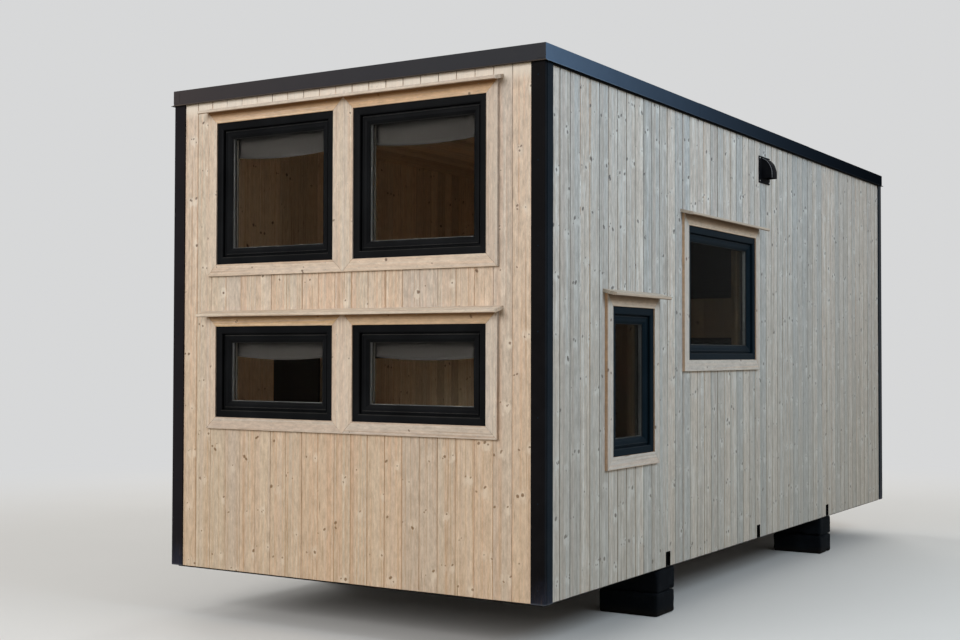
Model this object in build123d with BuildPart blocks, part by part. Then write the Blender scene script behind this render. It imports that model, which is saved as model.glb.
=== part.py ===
from build123d import *
from collections import namedtuple
import os

# A small flat-roofed house on block piers. All sizes are in millimetres, +Z is up, the front
# end wall faces -Y, and the origin is on the ground below the middle of the house.

os.makedirs("parts", exist_ok=True)

# Body, measured over the faces of its cladding
body_width = 2490.0
body_length = 5980.0
body_height = 2793.0
cladding_lift = 10.0

# Piers, each a stack of two blocks
block_width = 260.0
block_depth = 390.0
block_height = 135.0
blocks_per_pier = 2
pier_setback = 5.0

# Steel base frame
tube_width = 60.0
tube_height = 90.0
tube_wall = 5.0
slot_side_clearance = 3.0
slot_top_clearance = 7.0

# Walls, from outside to inside
cladding_thickness = 20.0
core_thickness = 98.0
lining_thickness = 12.0

# Floor and roof
cassette_thickness = 120.0
floorboard_thickness = 20.0
floor_edge_gap = 4.0
ceiling_thickness = 12.0
roof_thickness = 140.0
roof_sheet_thickness = 4.0
kerb_width = 45.0
roof_sheet_drop = 30.0

# Roof cap, a folded profile round the roof's edge
cap_height = 92.0
cap_projection = 15.0
cap_flange_thickness = 4.0
drip_projection = 12.0
drip_height = 14.0

# Corner trims
trim_end_width = 82.0
trim_side_width = 83.0
trim_thickness = 10.0

# Windows: widths and heights are those of the black frames. Those of the end walls hang below
# the roof cap, and those of the long walls stand above the cladding's lower edge.
end_window_width = 846.0
narrow_window_width = 536.0
wide_window_width = 1136.0
tall_window_height = 818.0
low_window_height = 520.0
end_upper_head_drop = 130.0
end_row_gap = 358.0
narrow_sill_height = 684.0
wide_sill_height = 1207.0
narrow_from_front = 1004.0
wide_from_front = 2340.0

# Window frames, sashes and glass: a face is a distance out from the cladding
frame_face = 10.0
frame_band = 42.0
frame_depth = 85.0
sash_recess = 14.0
sash_band = 50.0
sash_depth = 60.0
glass_recess = 20.0
glass_thickness = 24.0
glass_bite = 10.0

# Boards round the windows and the sloping drip boards above them
casing_width = 68.0
casing_thickness = 18.0
hood_overhang = 24.0
hood_projection = 85.0
hood_thickness = 19.0
hood_fall = 22.0

# Roller blinds behind the windows of the end walls and the left wall
blind_tube_radius = 15.0
blind_tube_gap = 6.0
blind_side_gap = 22.0
blind_drop = 240.0
low_blind_drop = 190.0
drawn_blind_gap = 50.0
blind_cloth_thickness = 3.0
blind_bar_height = 16.0
blind_bar_thickness = 9.0

# Door in the long wall that the windows of the other side repeat
door_width = 940.0
door_height = 2080.0
door_from_front = 4400.0
door_stile = 105.0
door_bottom_rail = 220.0
handle_height = 1000.0
handle_plate_width = 40.0
handle_plate_height = 170.0
handle_plate_thickness = 8.0
lever_length = 115.0
lever_diameter = 20.0
lever_stand_off = 38.0

# Wall vent high on the long wall, with a hood that opens downwards
vent_from_front = 3112.0
vent_plate_width = 210.0
vent_plate_height = 185.0
vent_head_drop = 98.0
vent_plate_thickness = 6.0
vent_base_width = 122.0
vent_front_width = 92.0
vent_projection = 80.0
vent_shell = 3.0
vent_margin_low = 34.0
vent_margin_high = 14.0
vent_lip_height = 22.0

# Levels that follow from the sizes above
pier_top = block_height * blocks_per_pier
cladding_bottom = pier_top + cladding_lift
roof_cap_top = cladding_bottom + body_height
frame_top = pier_top + tube_height
cassette_top = frame_top + cassette_thickness
floor_level = cassette_top + floorboard_thickness
sheet_top = roof_cap_top - cap_flange_thickness - roof_sheet_drop
roof_top = sheet_top - roof_sheet_thickness
roof_bottom = roof_top - roof_thickness
ceiling_level = roof_bottom - ceiling_thickness
cladding_top = roof_cap_top - cap_flange_thickness
cap_bottom = roof_cap_top - cap_height
end_upper_sill = cap_bottom - end_upper_head_drop - tall_window_height
end_lower_sill = end_upper_sill - end_row_gap - low_window_height
narrow_sill = cladding_bottom + narrow_sill_height
wide_sill = cladding_bottom + wide_sill_height
vent_plate_bottom = cap_bottom - vent_head_drop - vent_plate_height

# Plan sizes that follow
half_width = body_width / 2
half_length = body_length / 2
core_out_x = half_width - cladding_thickness
core_out_y = half_length - cladding_thickness
core_in_x = core_out_x - core_thickness
core_in_y = core_out_y - core_thickness
room_x = core_in_x - lining_thickness
room_y = core_in_y - lining_thickness
core_face = -cladding_thickness
lining_face = core_face - core_thickness
room_face = lining_face - lining_thickness

# Depths of the window parts that follow
frame_back = frame_face - frame_depth
sash_face = frame_face - sash_recess
sash_back = sash_face - sash_depth
glass_face = sash_face - glass_recess
glass_back = glass_face - glass_thickness

# Each wall is drawn on its cladding's face: along the wall to the right as seen from outside,
# height above the ground upwards, and outwards from the wall.
front_plane = Plane(origin=(0, -half_length, 0), x_dir=(1, 0, 0), z_dir=(0, -1, 0))
rear_plane = Plane(origin=(0, half_length, 0), x_dir=(-1, 0, 0), z_dir=(0, 1, 0))
right_plane = Plane(origin=(half_width, 0, 0), x_dir=(0, 1, 0), z_dir=(1, 0, 0))
left_plane = Plane(origin=(-half_width, 0, 0), x_dir=(0, -1, 0), z_dir=(-1, 0, 0))

# An opening is the place of one window or door frame on its wall
Opening = namedtuple("Opening", "centre sill width height")
# A group is one or more openings that share a ring of casing boards
Group = namedtuple("Group", "openings left right low high")


def group_of(openings, has_sill=True):
    """The casing's outline round neighbouring openings; a door has no board below it."""
    left = min(o.centre - o.width / 2 for o in openings) - casing_width
    right = max(o.centre + o.width / 2 for o in openings) + casing_width
    low = openings[0].sill - (casing_width if has_sill else 0)
    high = openings[0].sill + openings[0].height + casing_width
    return Group(openings, left, right, low, high)


def window_pair(sill, height):
    """Two windows side by side in the middle of an end wall."""
    offset = end_window_width / 2 + casing_width
    return [Opening(side * offset, sill, end_window_width, height) for side in (-1, 1)]


upper_pair = window_pair(end_upper_sill, tall_window_height)
lower_pair = window_pair(end_lower_sill, low_window_height)
end_openings = upper_pair + lower_pair
end_groups = [group_of(upper_pair), group_of(lower_pair)]

narrow_centre = narrow_from_front - half_length
wide_centre = wide_from_front - half_length
right_openings = [
    Opening(narrow_centre, narrow_sill, narrow_window_width, tall_window_height),
    Opening(wide_centre, wide_sill, wide_window_width, tall_window_height),
]
left_openings = [Opening(-o.centre, o.sill, o.width, o.height) for o in right_openings]
door = Opening(half_length - door_from_front, cassette_top, door_width, door_height)
right_groups = [group_of([o]) for o in right_openings]
left_groups = [group_of([o]) for o in left_openings]
door_group = group_of([door], has_sill=False)

tube_places = [body_length * quarter / 4 - half_length for quarter in (1, 2, 3)]
pier_places = [tube_places[0], tube_places[2]]


def slab(plane, left, right, low, high, inner, outer, mode=Mode.ADD):
    """A box on a wall, from depth inner out to depth outer."""
    with BuildSketch(plane.offset(inner)) as outline:
        with Locations(((left + right) / 2, (low + high) / 2)):
            Rectangle(right - left, high - low)
    extrude(outline.sketch, amount=outer - inner, mode=mode)


def flat(x_size, y_size, low, high, mode=Mode.ADD):
    """A level slab about the middle of the house."""
    with BuildSketch(Plane.XY.offset(low)) as outline:
        Rectangle(x_size, y_size)
    extrude(outline.sketch, amount=high - low, mode=mode)


def fill_opening(plane, opening, inset, inner, outer, mode=Mode.ADD):
    """A box that fills an opening, each edge inset towards its middle."""
    half = opening.width / 2 - inset
    slab(
        plane, opening.centre - half, opening.centre + half,
        opening.sill + inset, opening.sill + opening.height - inset, inner, outer, mode,
    )


def cut_openings(plane, openings, inner, outer):
    """Cut every opening through a wall layer."""
    for opening in openings:
        fill_opening(plane, opening, 0, inner, outer, Mode.SUBTRACT)


def ring(plane, opening, inset, band, inner, outer):
    """A rectangular frame in an opening, band wide."""
    with BuildSketch(plane.offset(inner)) as outline:
        with Locations((opening.centre, opening.sill + opening.height / 2)):
            Rectangle(opening.width - 2 * inset, opening.height - 2 * inset)
            hole_inset = inset + band
            Rectangle(
                opening.width - 2 * hole_inset,
                opening.height - 2 * hole_inset,
                mode=Mode.SUBTRACT,
            )
    extrude(outline.sketch, amount=outer - inner)


def window_frames(plane, openings):
    """The fixed outer frames of a wall's windows."""
    for opening in openings:
        ring(plane, opening, 0, frame_band, frame_back, frame_face)


def glass_panes(plane, openings, mode=Mode.ADD):
    """The sealed glass units, their edges held in the sashes."""
    inset = frame_band + sash_band - glass_bite
    for opening in openings:
        fill_opening(plane, opening, inset, glass_back, glass_face, mode)


def sashes(plane, openings):
    """The sashes inside the frames, grooved for the glass."""
    for opening in openings:
        ring(plane, opening, frame_band, sash_band, sash_back, sash_face)
    glass_panes(plane, openings, Mode.SUBTRACT)


def casings(plane, groups):
    """Rings of boards on the cladding round each group of openings."""
    for group in groups:
        slab(plane, group.left, group.right, group.low, group.high, 0, casing_thickness)
        cut_openings(plane, group.openings, 0, casing_thickness)


def hoods(plane, groups):
    """Sloping boards above the casings: each rests on its casing and meets the cladding."""
    for group in groups:
        underside = group.high + hood_fall * casing_thickness / hood_projection
        profile_plane = Plane(
            origin=plane.from_local_coords((group.left - hood_overhang, 0, 0)),
            x_dir=plane.z_dir,
            z_dir=plane.x_dir * -1,
        )
        with BuildSketch(profile_plane) as profile:
            with BuildLine():
                Polyline(
                    (0, underside),
                    (hood_projection, underside - hood_fall),
                    (hood_projection, underside - hood_fall + hood_thickness),
                    (0, underside + hood_thickness),
                    close=True,
                )
            make_face()
        length = group.right - group.left + 2 * hood_overhang
        extrude(profile.sketch, amount=-length)


# Wall cores: the timber framing with its insulation. The long walls run the full length and
# the end walls stand between them.
with BuildPart() as front_wall:
    slab(front_plane, -core_in_x, core_in_x, cassette_top, roof_bottom, lining_face, core_face)
    cut_openings(front_plane, end_openings, lining_face, core_face)

with BuildPart() as rear_wall:
    slab(rear_plane, -core_in_x, core_in_x, cassette_top, roof_bottom, lining_face, core_face)
    cut_openings(rear_plane, end_openings, lining_face, core_face)

with BuildPart() as right_wall:
    slab(right_plane, -core_out_y, core_out_y, cassette_top, roof_bottom, lining_face, core_face)
    cut_openings(right_plane, right_openings, lining_face, core_face)

with BuildPart() as left_wall:
    slab(left_plane, -core_out_y, core_out_y, cassette_top, roof_bottom, lining_face, core_face)
    cut_openings(left_plane, left_openings + [door], lining_face, core_face)


# Cladding: the end walls' boards cover the full width, the long walls' boards fit between.
def end_cladding(plane):
    """Boards of an end wall, from the lower edge up to the roof cap's flange."""
    slab(plane, -half_width, half_width, cladding_bottom, cladding_top, core_face, 0)
    cut_openings(plane, end_openings, core_face, 0)


def side_cladding(plane, openings):
    """Boards of a long wall, notched at the lower edge round the ends of the cross tubes."""
    slab(plane, -core_out_y, core_out_y, cladding_bottom, cladding_top, core_face, 0)
    cut_openings(plane, openings, core_face, 0)
    slot_half = tube_width / 2 + slot_side_clearance
    slot_top = frame_top + slot_top_clearance
    for place in tube_places:
        slab(
            plane, place - slot_half, place + slot_half, cladding_bottom, slot_top,
            core_face, 0, Mode.SUBTRACT,
        )


with BuildPart() as front_cladding:
    end_cladding(front_plane)

with BuildPart() as rear_cladding:
    end_cladding(rear_plane)

with BuildPart() as right_cladding:
    side_cladding(right_plane, right_openings)

with BuildPart() as left_cladding:
    side_cladding(left_plane, left_openings + [door])


# Linings: upright boards on the inner faces, from the floor to the ceiling
with BuildPart() as end_linings:
    for plane in (front_plane, rear_plane):
        slab(plane, -room_x, room_x, floor_level, ceiling_level, room_face, lining_face)
        cut_openings(plane, end_openings, room_face, lining_face)

with BuildPart() as side_linings:
    for plane, openings in ((right_plane, right_openings), (left_plane, left_openings + [door])):
        slab(plane, -core_in_y, core_in_y, floor_level, ceiling_level, room_face, lining_face)
        cut_openings(plane, openings, room_face, lining_face)


# Floor: an insulated cassette that carries the walls, with boards laid inside them
with BuildPart() as floor_cassette:
    flat(2 * core_out_x, 2 * core_out_y, frame_top, cassette_top)

with BuildPart() as floorboards:
    flat(
        2 * (core_in_x - floor_edge_gap), 2 * (core_in_y - floor_edge_gap),
        cassette_top, floor_level,
    )

# Steel base frame: three cross tubes, open at their ends, with rails welded between them
with BuildPart() as cross_tubes:
    for place in tube_places:
        with BuildSketch(Plane.YZ.offset(-core_out_x)):
            with Locations((place, pier_top + tube_height / 2)):
                Rectangle(tube_width, tube_height)
                Rectangle(
                    tube_width - 2 * tube_wall, tube_height - 2 * tube_wall, mode=Mode.SUBTRACT
                )
    extrude(amount=2 * core_out_x)

rail_stops = [-core_out_y] + tube_places + [core_out_y]
with BuildPart() as side_rails:
    for index in range(len(rail_stops) - 1):
        start = rail_stops[index] + (tube_width / 2 if index > 0 else 0)
        stop = rail_stops[index + 1] - (tube_width / 2 if index + 2 < len(rail_stops) else 0)
        for plane in (right_plane, left_plane):
            slab(plane, start, stop, pier_top, frame_top, core_face - tube_width, core_face)

with BuildPart() as end_rails:
    rail_half = core_out_x - tube_width
    for plane in (front_plane, rear_plane):
        slab(plane, -rail_half, rail_half, pier_top, frame_top, core_face - tube_width, core_face)


# Piers: two-block stacks under the outer two cross tubes, along each long wall
def piers(plane):
    """The two piers of one long wall."""
    for place in pier_places:
        for course in range(blocks_per_pier):
            slab(
                plane, place - block_width / 2, place + block_width / 2,
                course * block_height, (course + 1) * block_height,
                -pier_setback - block_depth, -pier_setback,
            )


with BuildPart() as right_piers:
    piers(right_plane)

with BuildPart() as left_piers:
    piers(left_plane)

# Roof: an insulated deck on the walls with a kerb round it, the sheet that covers the deck,
# and the ceiling boards below
with BuildPart() as roof_deck:
    flat(2 * core_out_x, 2 * core_out_y, roof_bottom, cladding_top)
    kerb_in_x = core_out_x - kerb_width
    kerb_in_y = core_out_y - kerb_width
    flat(2 * kerb_in_x, 2 * kerb_in_y, roof_top, cladding_top, Mode.SUBTRACT)

with BuildPart() as roof_sheet:
    flat(2 * kerb_in_x, 2 * kerb_in_y, roof_top, sheet_top)

with BuildPart() as ceiling:
    flat(
        2 * (core_in_x - floor_edge_gap), 2 * (core_in_y - floor_edge_gap),
        ceiling_level, roof_bottom,
    )


# Roof cap: a folded profile with a flange over the kerb, a face outside the cladding and a
# drip kicked out at its lower edge, mitred at the four corners
def roof_cap(plane, half_run):
    """One side's cap. Its plan is a trapezium with its long edge outside."""
    reach = cap_projection + drip_projection
    inner = core_face - kerb_width
    with BuildSketch(
        Plane(origin=plane.from_local_coords((-half_run - reach, 0, 0)), x_dir=plane.z_dir,
              z_dir=plane.x_dir * -1)
    ) as profile:
        with BuildLine():
            Polyline(
                (inner, roof_cap_top),
                (cap_projection, roof_cap_top),
                (cap_projection, cap_bottom + drip_height),
                (reach, cap_bottom),
                (0, cap_bottom),
                (0, cladding_top),
                (inner, cladding_top),
                close=True,
            )
        make_face()
    run = extrude(profile.sketch, amount=-2 * (half_run + reach), mode=Mode.PRIVATE)
    with BuildSketch(Plane.XY.offset(cap_bottom)) as plan:
        with BuildLine():
            corners = [
                (-half_run - reach, reach), (half_run + reach, reach),
                (half_run + inner, inner), (-half_run - inner, inner),
            ]
            Polyline(
                *[plane.from_local_coords((along, 0, out)) for along, out in corners], close=True
            )
        make_face()
    mitred = extrude(plan.sketch, amount=cap_height, mode=Mode.PRIVATE)
    add(run & mitred)


with BuildPart() as end_roof_caps:
    roof_cap(front_plane, half_width)
    roof_cap(rear_plane, half_width)

with BuildPart() as side_roof_caps:
    roof_cap(right_plane, half_length)
    roof_cap(left_plane, half_length)

# Corner trims: an angle on the cladding at each corner, from its lower edge to the roof cap
with BuildPart() as corner_trims:
    with BuildSketch(Plane.XY.offset(cladding_bottom)) as trim_plan:
        with BuildLine():
            out_x = half_width + trim_thickness
            out_y = half_length + trim_thickness
            Polyline(
                (out_x, out_y),
                (out_x - trim_end_width, out_y),
                (out_x - trim_end_width, half_length),
                (half_width, half_length),
                (half_width, out_y - trim_side_width),
                (out_x, out_y - trim_side_width),
                close=True,
            )
        make_face()
        mirror(about=Plane.YZ)
        mirror(about=Plane.XZ)
    extrude(amount=cap_bottom - cladding_bottom)

# Windows of the four walls
with BuildPart() as front_window_frames:
    window_frames(front_plane, end_openings)

with BuildPart() as front_sashes:
    sashes(front_plane, end_openings)

with BuildPart() as front_glass:
    glass_panes(front_plane, end_openings)

with BuildPart() as rear_window_frames:
    window_frames(rear_plane, end_openings)

with BuildPart() as rear_sashes:
    sashes(rear_plane, end_openings)

with BuildPart() as rear_glass:
    glass_panes(rear_plane, end_openings)

with BuildPart() as right_window_frames:
    window_frames(right_plane, right_openings)

with BuildPart() as right_sashes:
    sashes(right_plane, right_openings)

with BuildPart() as right_glass:
    glass_panes(right_plane, right_openings)

with BuildPart() as left_window_frames:
    window_frames(left_plane, left_openings)

with BuildPart() as left_sashes:
    sashes(left_plane, left_openings)

with BuildPart() as left_glass:
    glass_panes(left_plane, left_openings)

# Casings and drip boards
with BuildPart() as front_casings:
    casings(front_plane, end_groups)

with BuildPart() as rear_casings:
    casings(rear_plane, end_groups)

with BuildPart() as right_casings:
    casings(right_plane, right_groups)

with BuildPart() as left_casings:
    casings(left_plane, left_groups + [door_group])

with BuildPart() as front_hoods:
    hoods(front_plane, end_groups)

with BuildPart() as rear_hoods:
    hoods(rear_plane, end_groups)

with BuildPart() as right_hoods:
    hoods(right_plane, right_groups)

with BuildPart() as left_hoods:
    hoods(left_plane, left_groups + [door_group])

# Roller blinds: a tube under the head of each opening, the cloth drawn down behind the sash, and
# the bar in its hem
def blinds(plane, openings, drops):
    for opening, drop in zip(openings, drops):
        half = opening.width / 2 - blind_side_gap
        head = opening.sill + opening.height
        tube_depth = frame_back - blind_tube_gap - blind_tube_radius
        cloth_outer = tube_depth + blind_tube_radius
        with BuildSketch(
            Plane(origin=plane.from_local_coords((opening.centre - half, 0, 0)),
                  x_dir=plane.z_dir, z_dir=plane.x_dir * -1)
        ) as tube_end:
            with Locations((tube_depth, head - blind_tube_radius)):
                Circle(blind_tube_radius)
        extrude(tube_end.sketch, amount=-2 * half)
        hem = head - drop
        slab(
            plane, opening.centre - half, opening.centre + half,
            hem + blind_bar_height / 2, head - blind_tube_radius,
            cloth_outer - blind_cloth_thickness, cloth_outer,
        )
        bar_outer = cloth_outer - blind_cloth_thickness / 2 + blind_bar_thickness / 2
        slab(
            plane, opening.centre - half, opening.centre + half,
            hem, hem + blind_bar_height, bar_outer - blind_bar_thickness, bar_outer,
        )


# The front wall's blinds are partly drawn; those of the rear and left walls are down
with BuildPart() as front_blinds:
    blinds(
        front_plane, end_openings,
        [blind_drop if opening in upper_pair else low_blind_drop for opening in end_openings],
    )

with BuildPart() as rear_blinds:
    blinds(rear_plane, end_openings, [opening.height - drawn_blind_gap for opening in end_openings])

with BuildPart() as left_blinds:
    blinds(
        left_plane, left_openings, [opening.height - drawn_blind_gap for opening in left_openings]
    )

# Door: a glazed leaf in a frame like the windows', shut, with a lever on each face
leaf_low = door.sill + frame_band
with BuildPart() as door_frame:
    ring(left_plane, door, 0, frame_band, frame_back, frame_face)

with BuildPart() as door_leaf:
    fill_opening(left_plane, door, frame_band, sash_back, sash_face)
    light_left = door.centre - door.width / 2 + frame_band + door_stile
    light_right = door.centre + door.width / 2 - frame_band - door_stile
    light_low = leaf_low + door_bottom_rail
    light_high = door.sill + door.height - frame_band - door_stile
    slab(left_plane, light_left, light_right, light_low, light_high, sash_back, sash_face,
         Mode.SUBTRACT)
    slab(left_plane, light_left - glass_bite, light_right + glass_bite, light_low - glass_bite,
         light_high + glass_bite, glass_back, glass_face, Mode.SUBTRACT)

with BuildPart() as door_glass:
    slab(left_plane, light_left - glass_bite, light_right + glass_bite, light_low - glass_bite,
         light_high + glass_bite, glass_back, glass_face)

with BuildPart() as door_handles:
    handle_centre = door.centre + door.width / 2 - frame_band - door_stile / 2
    handle_level = floor_level + handle_height
    for face_depth, outward in ((sash_face, 1), (sash_back, -1)):
        plate_out = face_depth + outward * handle_plate_thickness
        slab(
            left_plane, handle_centre - handle_plate_width / 2,
            handle_centre + handle_plate_width / 2,
            handle_level - handle_plate_height / 2, handle_level + handle_plate_height / 2,
            min(face_depth, plate_out), max(face_depth, plate_out),
        )
        with BuildSketch(left_plane.offset(face_depth)) as neck:
            with Locations((handle_centre, handle_level)):
                Circle(lever_diameter / 2)
        reach = handle_plate_thickness + lever_stand_off
        extrude(neck.sketch, amount=outward * reach)
        lever_depth = face_depth + outward * (reach - lever_diameter / 2)
        with BuildSketch(
            Plane(
                origin=left_plane.from_local_coords((handle_centre, handle_level, lever_depth)),
                x_dir=left_plane.z_dir,
                z_dir=left_plane.x_dir * -1,
            )
        ) as lever:
            Circle(lever_diameter / 2)
        extrude(lever.sketch, amount=lever_length)

# Wall vent: a plate on the cladding with a tapering hood, round at the top and open below
vent_centre = vent_from_front - half_length
vent_hood_low = vent_plate_bottom + vent_margin_low
vent_hood_high = vent_plate_bottom + vent_plate_height - vent_margin_high


def vent_hood(shrink, mode):
    """The hood's solid: its side outline across the base, narrowed towards the front."""
    side_plane = Plane(
        origin=right_plane.from_local_coords((vent_centre, 0, 0)),
        x_dir=right_plane.z_dir,
        z_dir=right_plane.x_dir * -1,
    )
    with BuildSketch(side_plane) as side:
        out = vent_projection - shrink
        high = vent_hood_high - shrink
        shoulder = vent_hood_low + vent_lip_height
        with BuildLine():
            Line((0, vent_hood_low), (out, vent_hood_low))
            Line((out, vent_hood_low), (out, shoulder))
            EllipticalCenterArc(
                (0, shoulder), out, high - shoulder, start_angle=0, arc_size=90
            )
            Line((0, high), (0, vent_hood_low))
        make_face()
    across = extrude(side.sketch, amount=vent_base_width / 2, both=True, mode=Mode.PRIVATE)
    with BuildSketch(Plane.XY.offset(vent_hood_low)) as plan:
        with BuildLine():
            base = vent_base_width / 2 - shrink
            front = vent_front_width / 2 - shrink
            corners = [
                (vent_centre - base, 0), (vent_centre - front, vent_projection),
                (vent_centre + front, vent_projection), (vent_centre + base, 0),
            ]
            Polyline(
                *[right_plane.from_local_coords((along, 0, depth)) for along, depth in corners],
                close=True,
            )
        make_face()
    tapered = extrude(plan.sketch, amount=vent_plate_height, mode=Mode.PRIVATE)
    add(across & tapered, mode=mode)


with BuildPart() as wall_vent:
    vent_hood(0, Mode.ADD)
    vent_hood(vent_shell, Mode.SUBTRACT)
    slab(
        right_plane, vent_centre - vent_plate_width / 2, vent_centre + vent_plate_width / 2,
        vent_plate_bottom, vent_plate_bottom + vent_plate_height, 0, vent_plate_thickness,
    )

nodes = {
    "front_wall": front_wall,
    "rear_wall": rear_wall,
    "right_wall": right_wall,
    "left_wall": left_wall,
    "front_cladding": front_cladding,
    "rear_cladding": rear_cladding,
    "right_cladding": right_cladding,
    "left_cladding": left_cladding,
    "end_linings": end_linings,
    "side_linings": side_linings,
    "floor_cassette": floor_cassette,
    "floorboards": floorboards,
    "cross_tubes": cross_tubes,
    "side_rails": side_rails,
    "end_rails": end_rails,
    "right_piers": right_piers,
    "left_piers": left_piers,
    "roof_deck": roof_deck,
    "roof_sheet": roof_sheet,
    "ceiling": ceiling,
    "end_roof_caps": end_roof_caps,
    "side_roof_caps": side_roof_caps,
    "corner_trims": corner_trims,
    "front_window_frames": front_window_frames,
    "front_sashes": front_sashes,
    "front_glass": front_glass,
    "rear_window_frames": rear_window_frames,
    "rear_sashes": rear_sashes,
    "rear_glass": rear_glass,
    "right_window_frames": right_window_frames,
    "right_sashes": right_sashes,
    "right_glass": right_glass,
    "left_window_frames": left_window_frames,
    "left_sashes": left_sashes,
    "left_glass": left_glass,
    "front_casings": front_casings,
    "rear_casings": rear_casings,
    "right_casings": right_casings,
    "left_casings": left_casings,
    "front_hoods": front_hoods,
    "rear_hoods": rear_hoods,
    "right_hoods": right_hoods,
    "left_hoods": left_hoods,
    "front_blinds": front_blinds,
    "rear_blinds": rear_blinds,
    "left_blinds": left_blinds,
    "door_frame": door_frame,
    "door_leaf": door_leaf,
    "door_glass": door_glass,
    "door_handles": door_handles,
    "wall_vent": wall_vent,
}

for name, node in nodes.items():
    node.part.label = name
    export_step(node.part, f"parts/{name}.step")
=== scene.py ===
import logging
import random
from dataclasses import dataclass, replace
from enum import Enum
from itertools import count as counter, product
from math import copysign, cos, floor, pi, radians, sin, sqrt, tan, tau
from typing import Iterable, NamedTuple, Optional, Protocol, Sequence, Union

import bmesh
import bpy
from bpy.types import Material, Mesh, Node, NodeSocket, NodeTree, Object
from mathutils import Matrix, Vector
from mathutils import noise as space_noise


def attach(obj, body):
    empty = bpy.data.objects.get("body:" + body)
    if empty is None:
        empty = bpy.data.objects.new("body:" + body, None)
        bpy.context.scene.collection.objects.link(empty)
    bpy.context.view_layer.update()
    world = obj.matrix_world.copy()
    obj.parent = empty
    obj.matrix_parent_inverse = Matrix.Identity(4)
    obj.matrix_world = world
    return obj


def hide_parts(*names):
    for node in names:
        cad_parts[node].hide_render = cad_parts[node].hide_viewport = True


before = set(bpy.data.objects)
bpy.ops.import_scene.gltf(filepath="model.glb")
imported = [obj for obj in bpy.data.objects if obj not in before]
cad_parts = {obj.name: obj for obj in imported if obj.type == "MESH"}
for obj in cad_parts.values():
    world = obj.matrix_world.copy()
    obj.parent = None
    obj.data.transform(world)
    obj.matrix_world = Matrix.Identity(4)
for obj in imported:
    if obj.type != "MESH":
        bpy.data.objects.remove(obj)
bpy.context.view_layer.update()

log = logging.getLogger("house")

Colour = tuple[float, float, float]
Flat = tuple[float, float]
Place = tuple[float, float, float]
# A frame member's section: 0 or 1 for the frame's outer or inner edge, the distance from it into
# the member, and the distance out of the wall.
Section = Sequence[tuple[int, float, float]]


# Sizes

QUARTER = pi / 2


class Side(Enum):
    """The four walls of the house."""

    FRONT = "front"
    REAR = "rear"
    RIGHT = "right"
    LEFT = "left"

    @property
    def end(self) -> bool:
        """Whether it is one of the two end walls."""
        return self in (Side.FRONT, Side.REAR)


@dataclass(frozen=True)
class Face:
    """A flat place to build on. The directions are along it, up it and out of it."""

    origin: Vector
    along: Vector
    up: Vector
    out: Vector

    def at(self, along: float, up: float, out: float) -> Vector:
        """Return the point at these distances from the origin."""
        return self.origin + self.along * along + self.up * up + self.out * out


class Rect(NamedTuple):
    """An upright rectangle on a wall."""

    left: float
    right: float
    low: float
    high: float

    def inset(self, by: float, low: Optional[float] = None) -> "Rect":
        """Return it with each edge moved inwards, the lower one by low if that is given."""
        foot = by if low is None else low
        return Rect(self.left + by, self.right - by, self.low + foot, self.high - by)

    def corners(self) -> list[Flat]:
        """Return its corners, against the clock."""
        left, right, low, high = self
        return [(left, low), (right, low), (right, high), (left, high)]


def opening(centre: float, sill: float, width: float, height: float) -> Rect:
    """Return the place of a window or door frame on its wall."""
    return Rect(centre - width / 2, centre + width / 2, sill, sill + height)


@dataclass(frozen=True)
class House:
    """Sizes that more than one sub-assembly needs, in metres."""

    half_width: float = 1.245
    half_length: float = 2.99
    cladding_depth: float = 0.02
    core_depth: float = 0.098
    lining_depth: float = 0.012
    cladding_bottom: float = 0.28
    cassette_top: float = 0.48
    floor_level: float = 0.5
    ceiling_level: float = 2.883
    roof_bottom: float = 2.895
    roof_top: float = 3.035
    cladding_top: float = 3.069
    cap_top: float = 3.073
    cap_bottom: float = 2.981
    casing_width: float = 0.068
    tube_places: tuple[float, ...] = (-1.495, 0.0, 1.495)
    slot_half: float = 0.033
    slot_top: float = 0.367

    def face(self, side: Side) -> Face:
        """Return a wall's cladding face.

        Args:
            side: The wall.

        Returns:
            The face, with its along direction to the right as seen from outside.
        """
        x, y, z = Vector((1, 0, 0)), Vector((0, 1, 0)), Vector((0, 0, 1))
        return {
            Side.FRONT: Face(-y * self.half_length, x, z, -y),
            Side.REAR: Face(y * self.half_length, -x, z, y), Side.RIGHT: Face(x * self.half_width, y, z, x),
            Side.LEFT: Face(-x * self.half_width, -y, z, -x),
        }[side]

    def windows(self, side: Side) -> list[Rect]:
        """Return a wall's window openings.

        Args:
            side: The wall.

        Returns:
            The openings.
        """
        if side.end:
            rows = product(((2.033, 0.818), (1.155, 0.52)), (-1, 1))
            return [opening(turn * 0.491, sill, 0.846, height) for (sill, height), turn in rows]
        turn = -1 if side is Side.RIGHT else 1
        return [opening(turn * 1.986, 0.964, 0.536, 0.818), opening(turn * 0.65, 1.487, 1.136, 0.818)]

    def doors(self, side: Side) -> list[Rect]:
        """Return a wall's door openings."""
        return [opening(-1.41, 0.48, 0.94, 2.08)] if side is Side.LEFT else []

    def openings(self, side: Side) -> list[Rect]:
        """Return all the openings of a wall."""
        return self.windows(side) + self.doors(side)

    def rows(self, side: Side) -> list[list[Rect]]:
        """Return the windows that share a set of casing boards, and then the doors.

        Args:
            side: The wall.

        Returns:
            The rows, each from left to right.
        """
        if side.end:
            found = self.windows(side)
            return [found[:2], found[2:]]
        return [[o] for o in self.openings(side)]


# Node graphs

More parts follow.
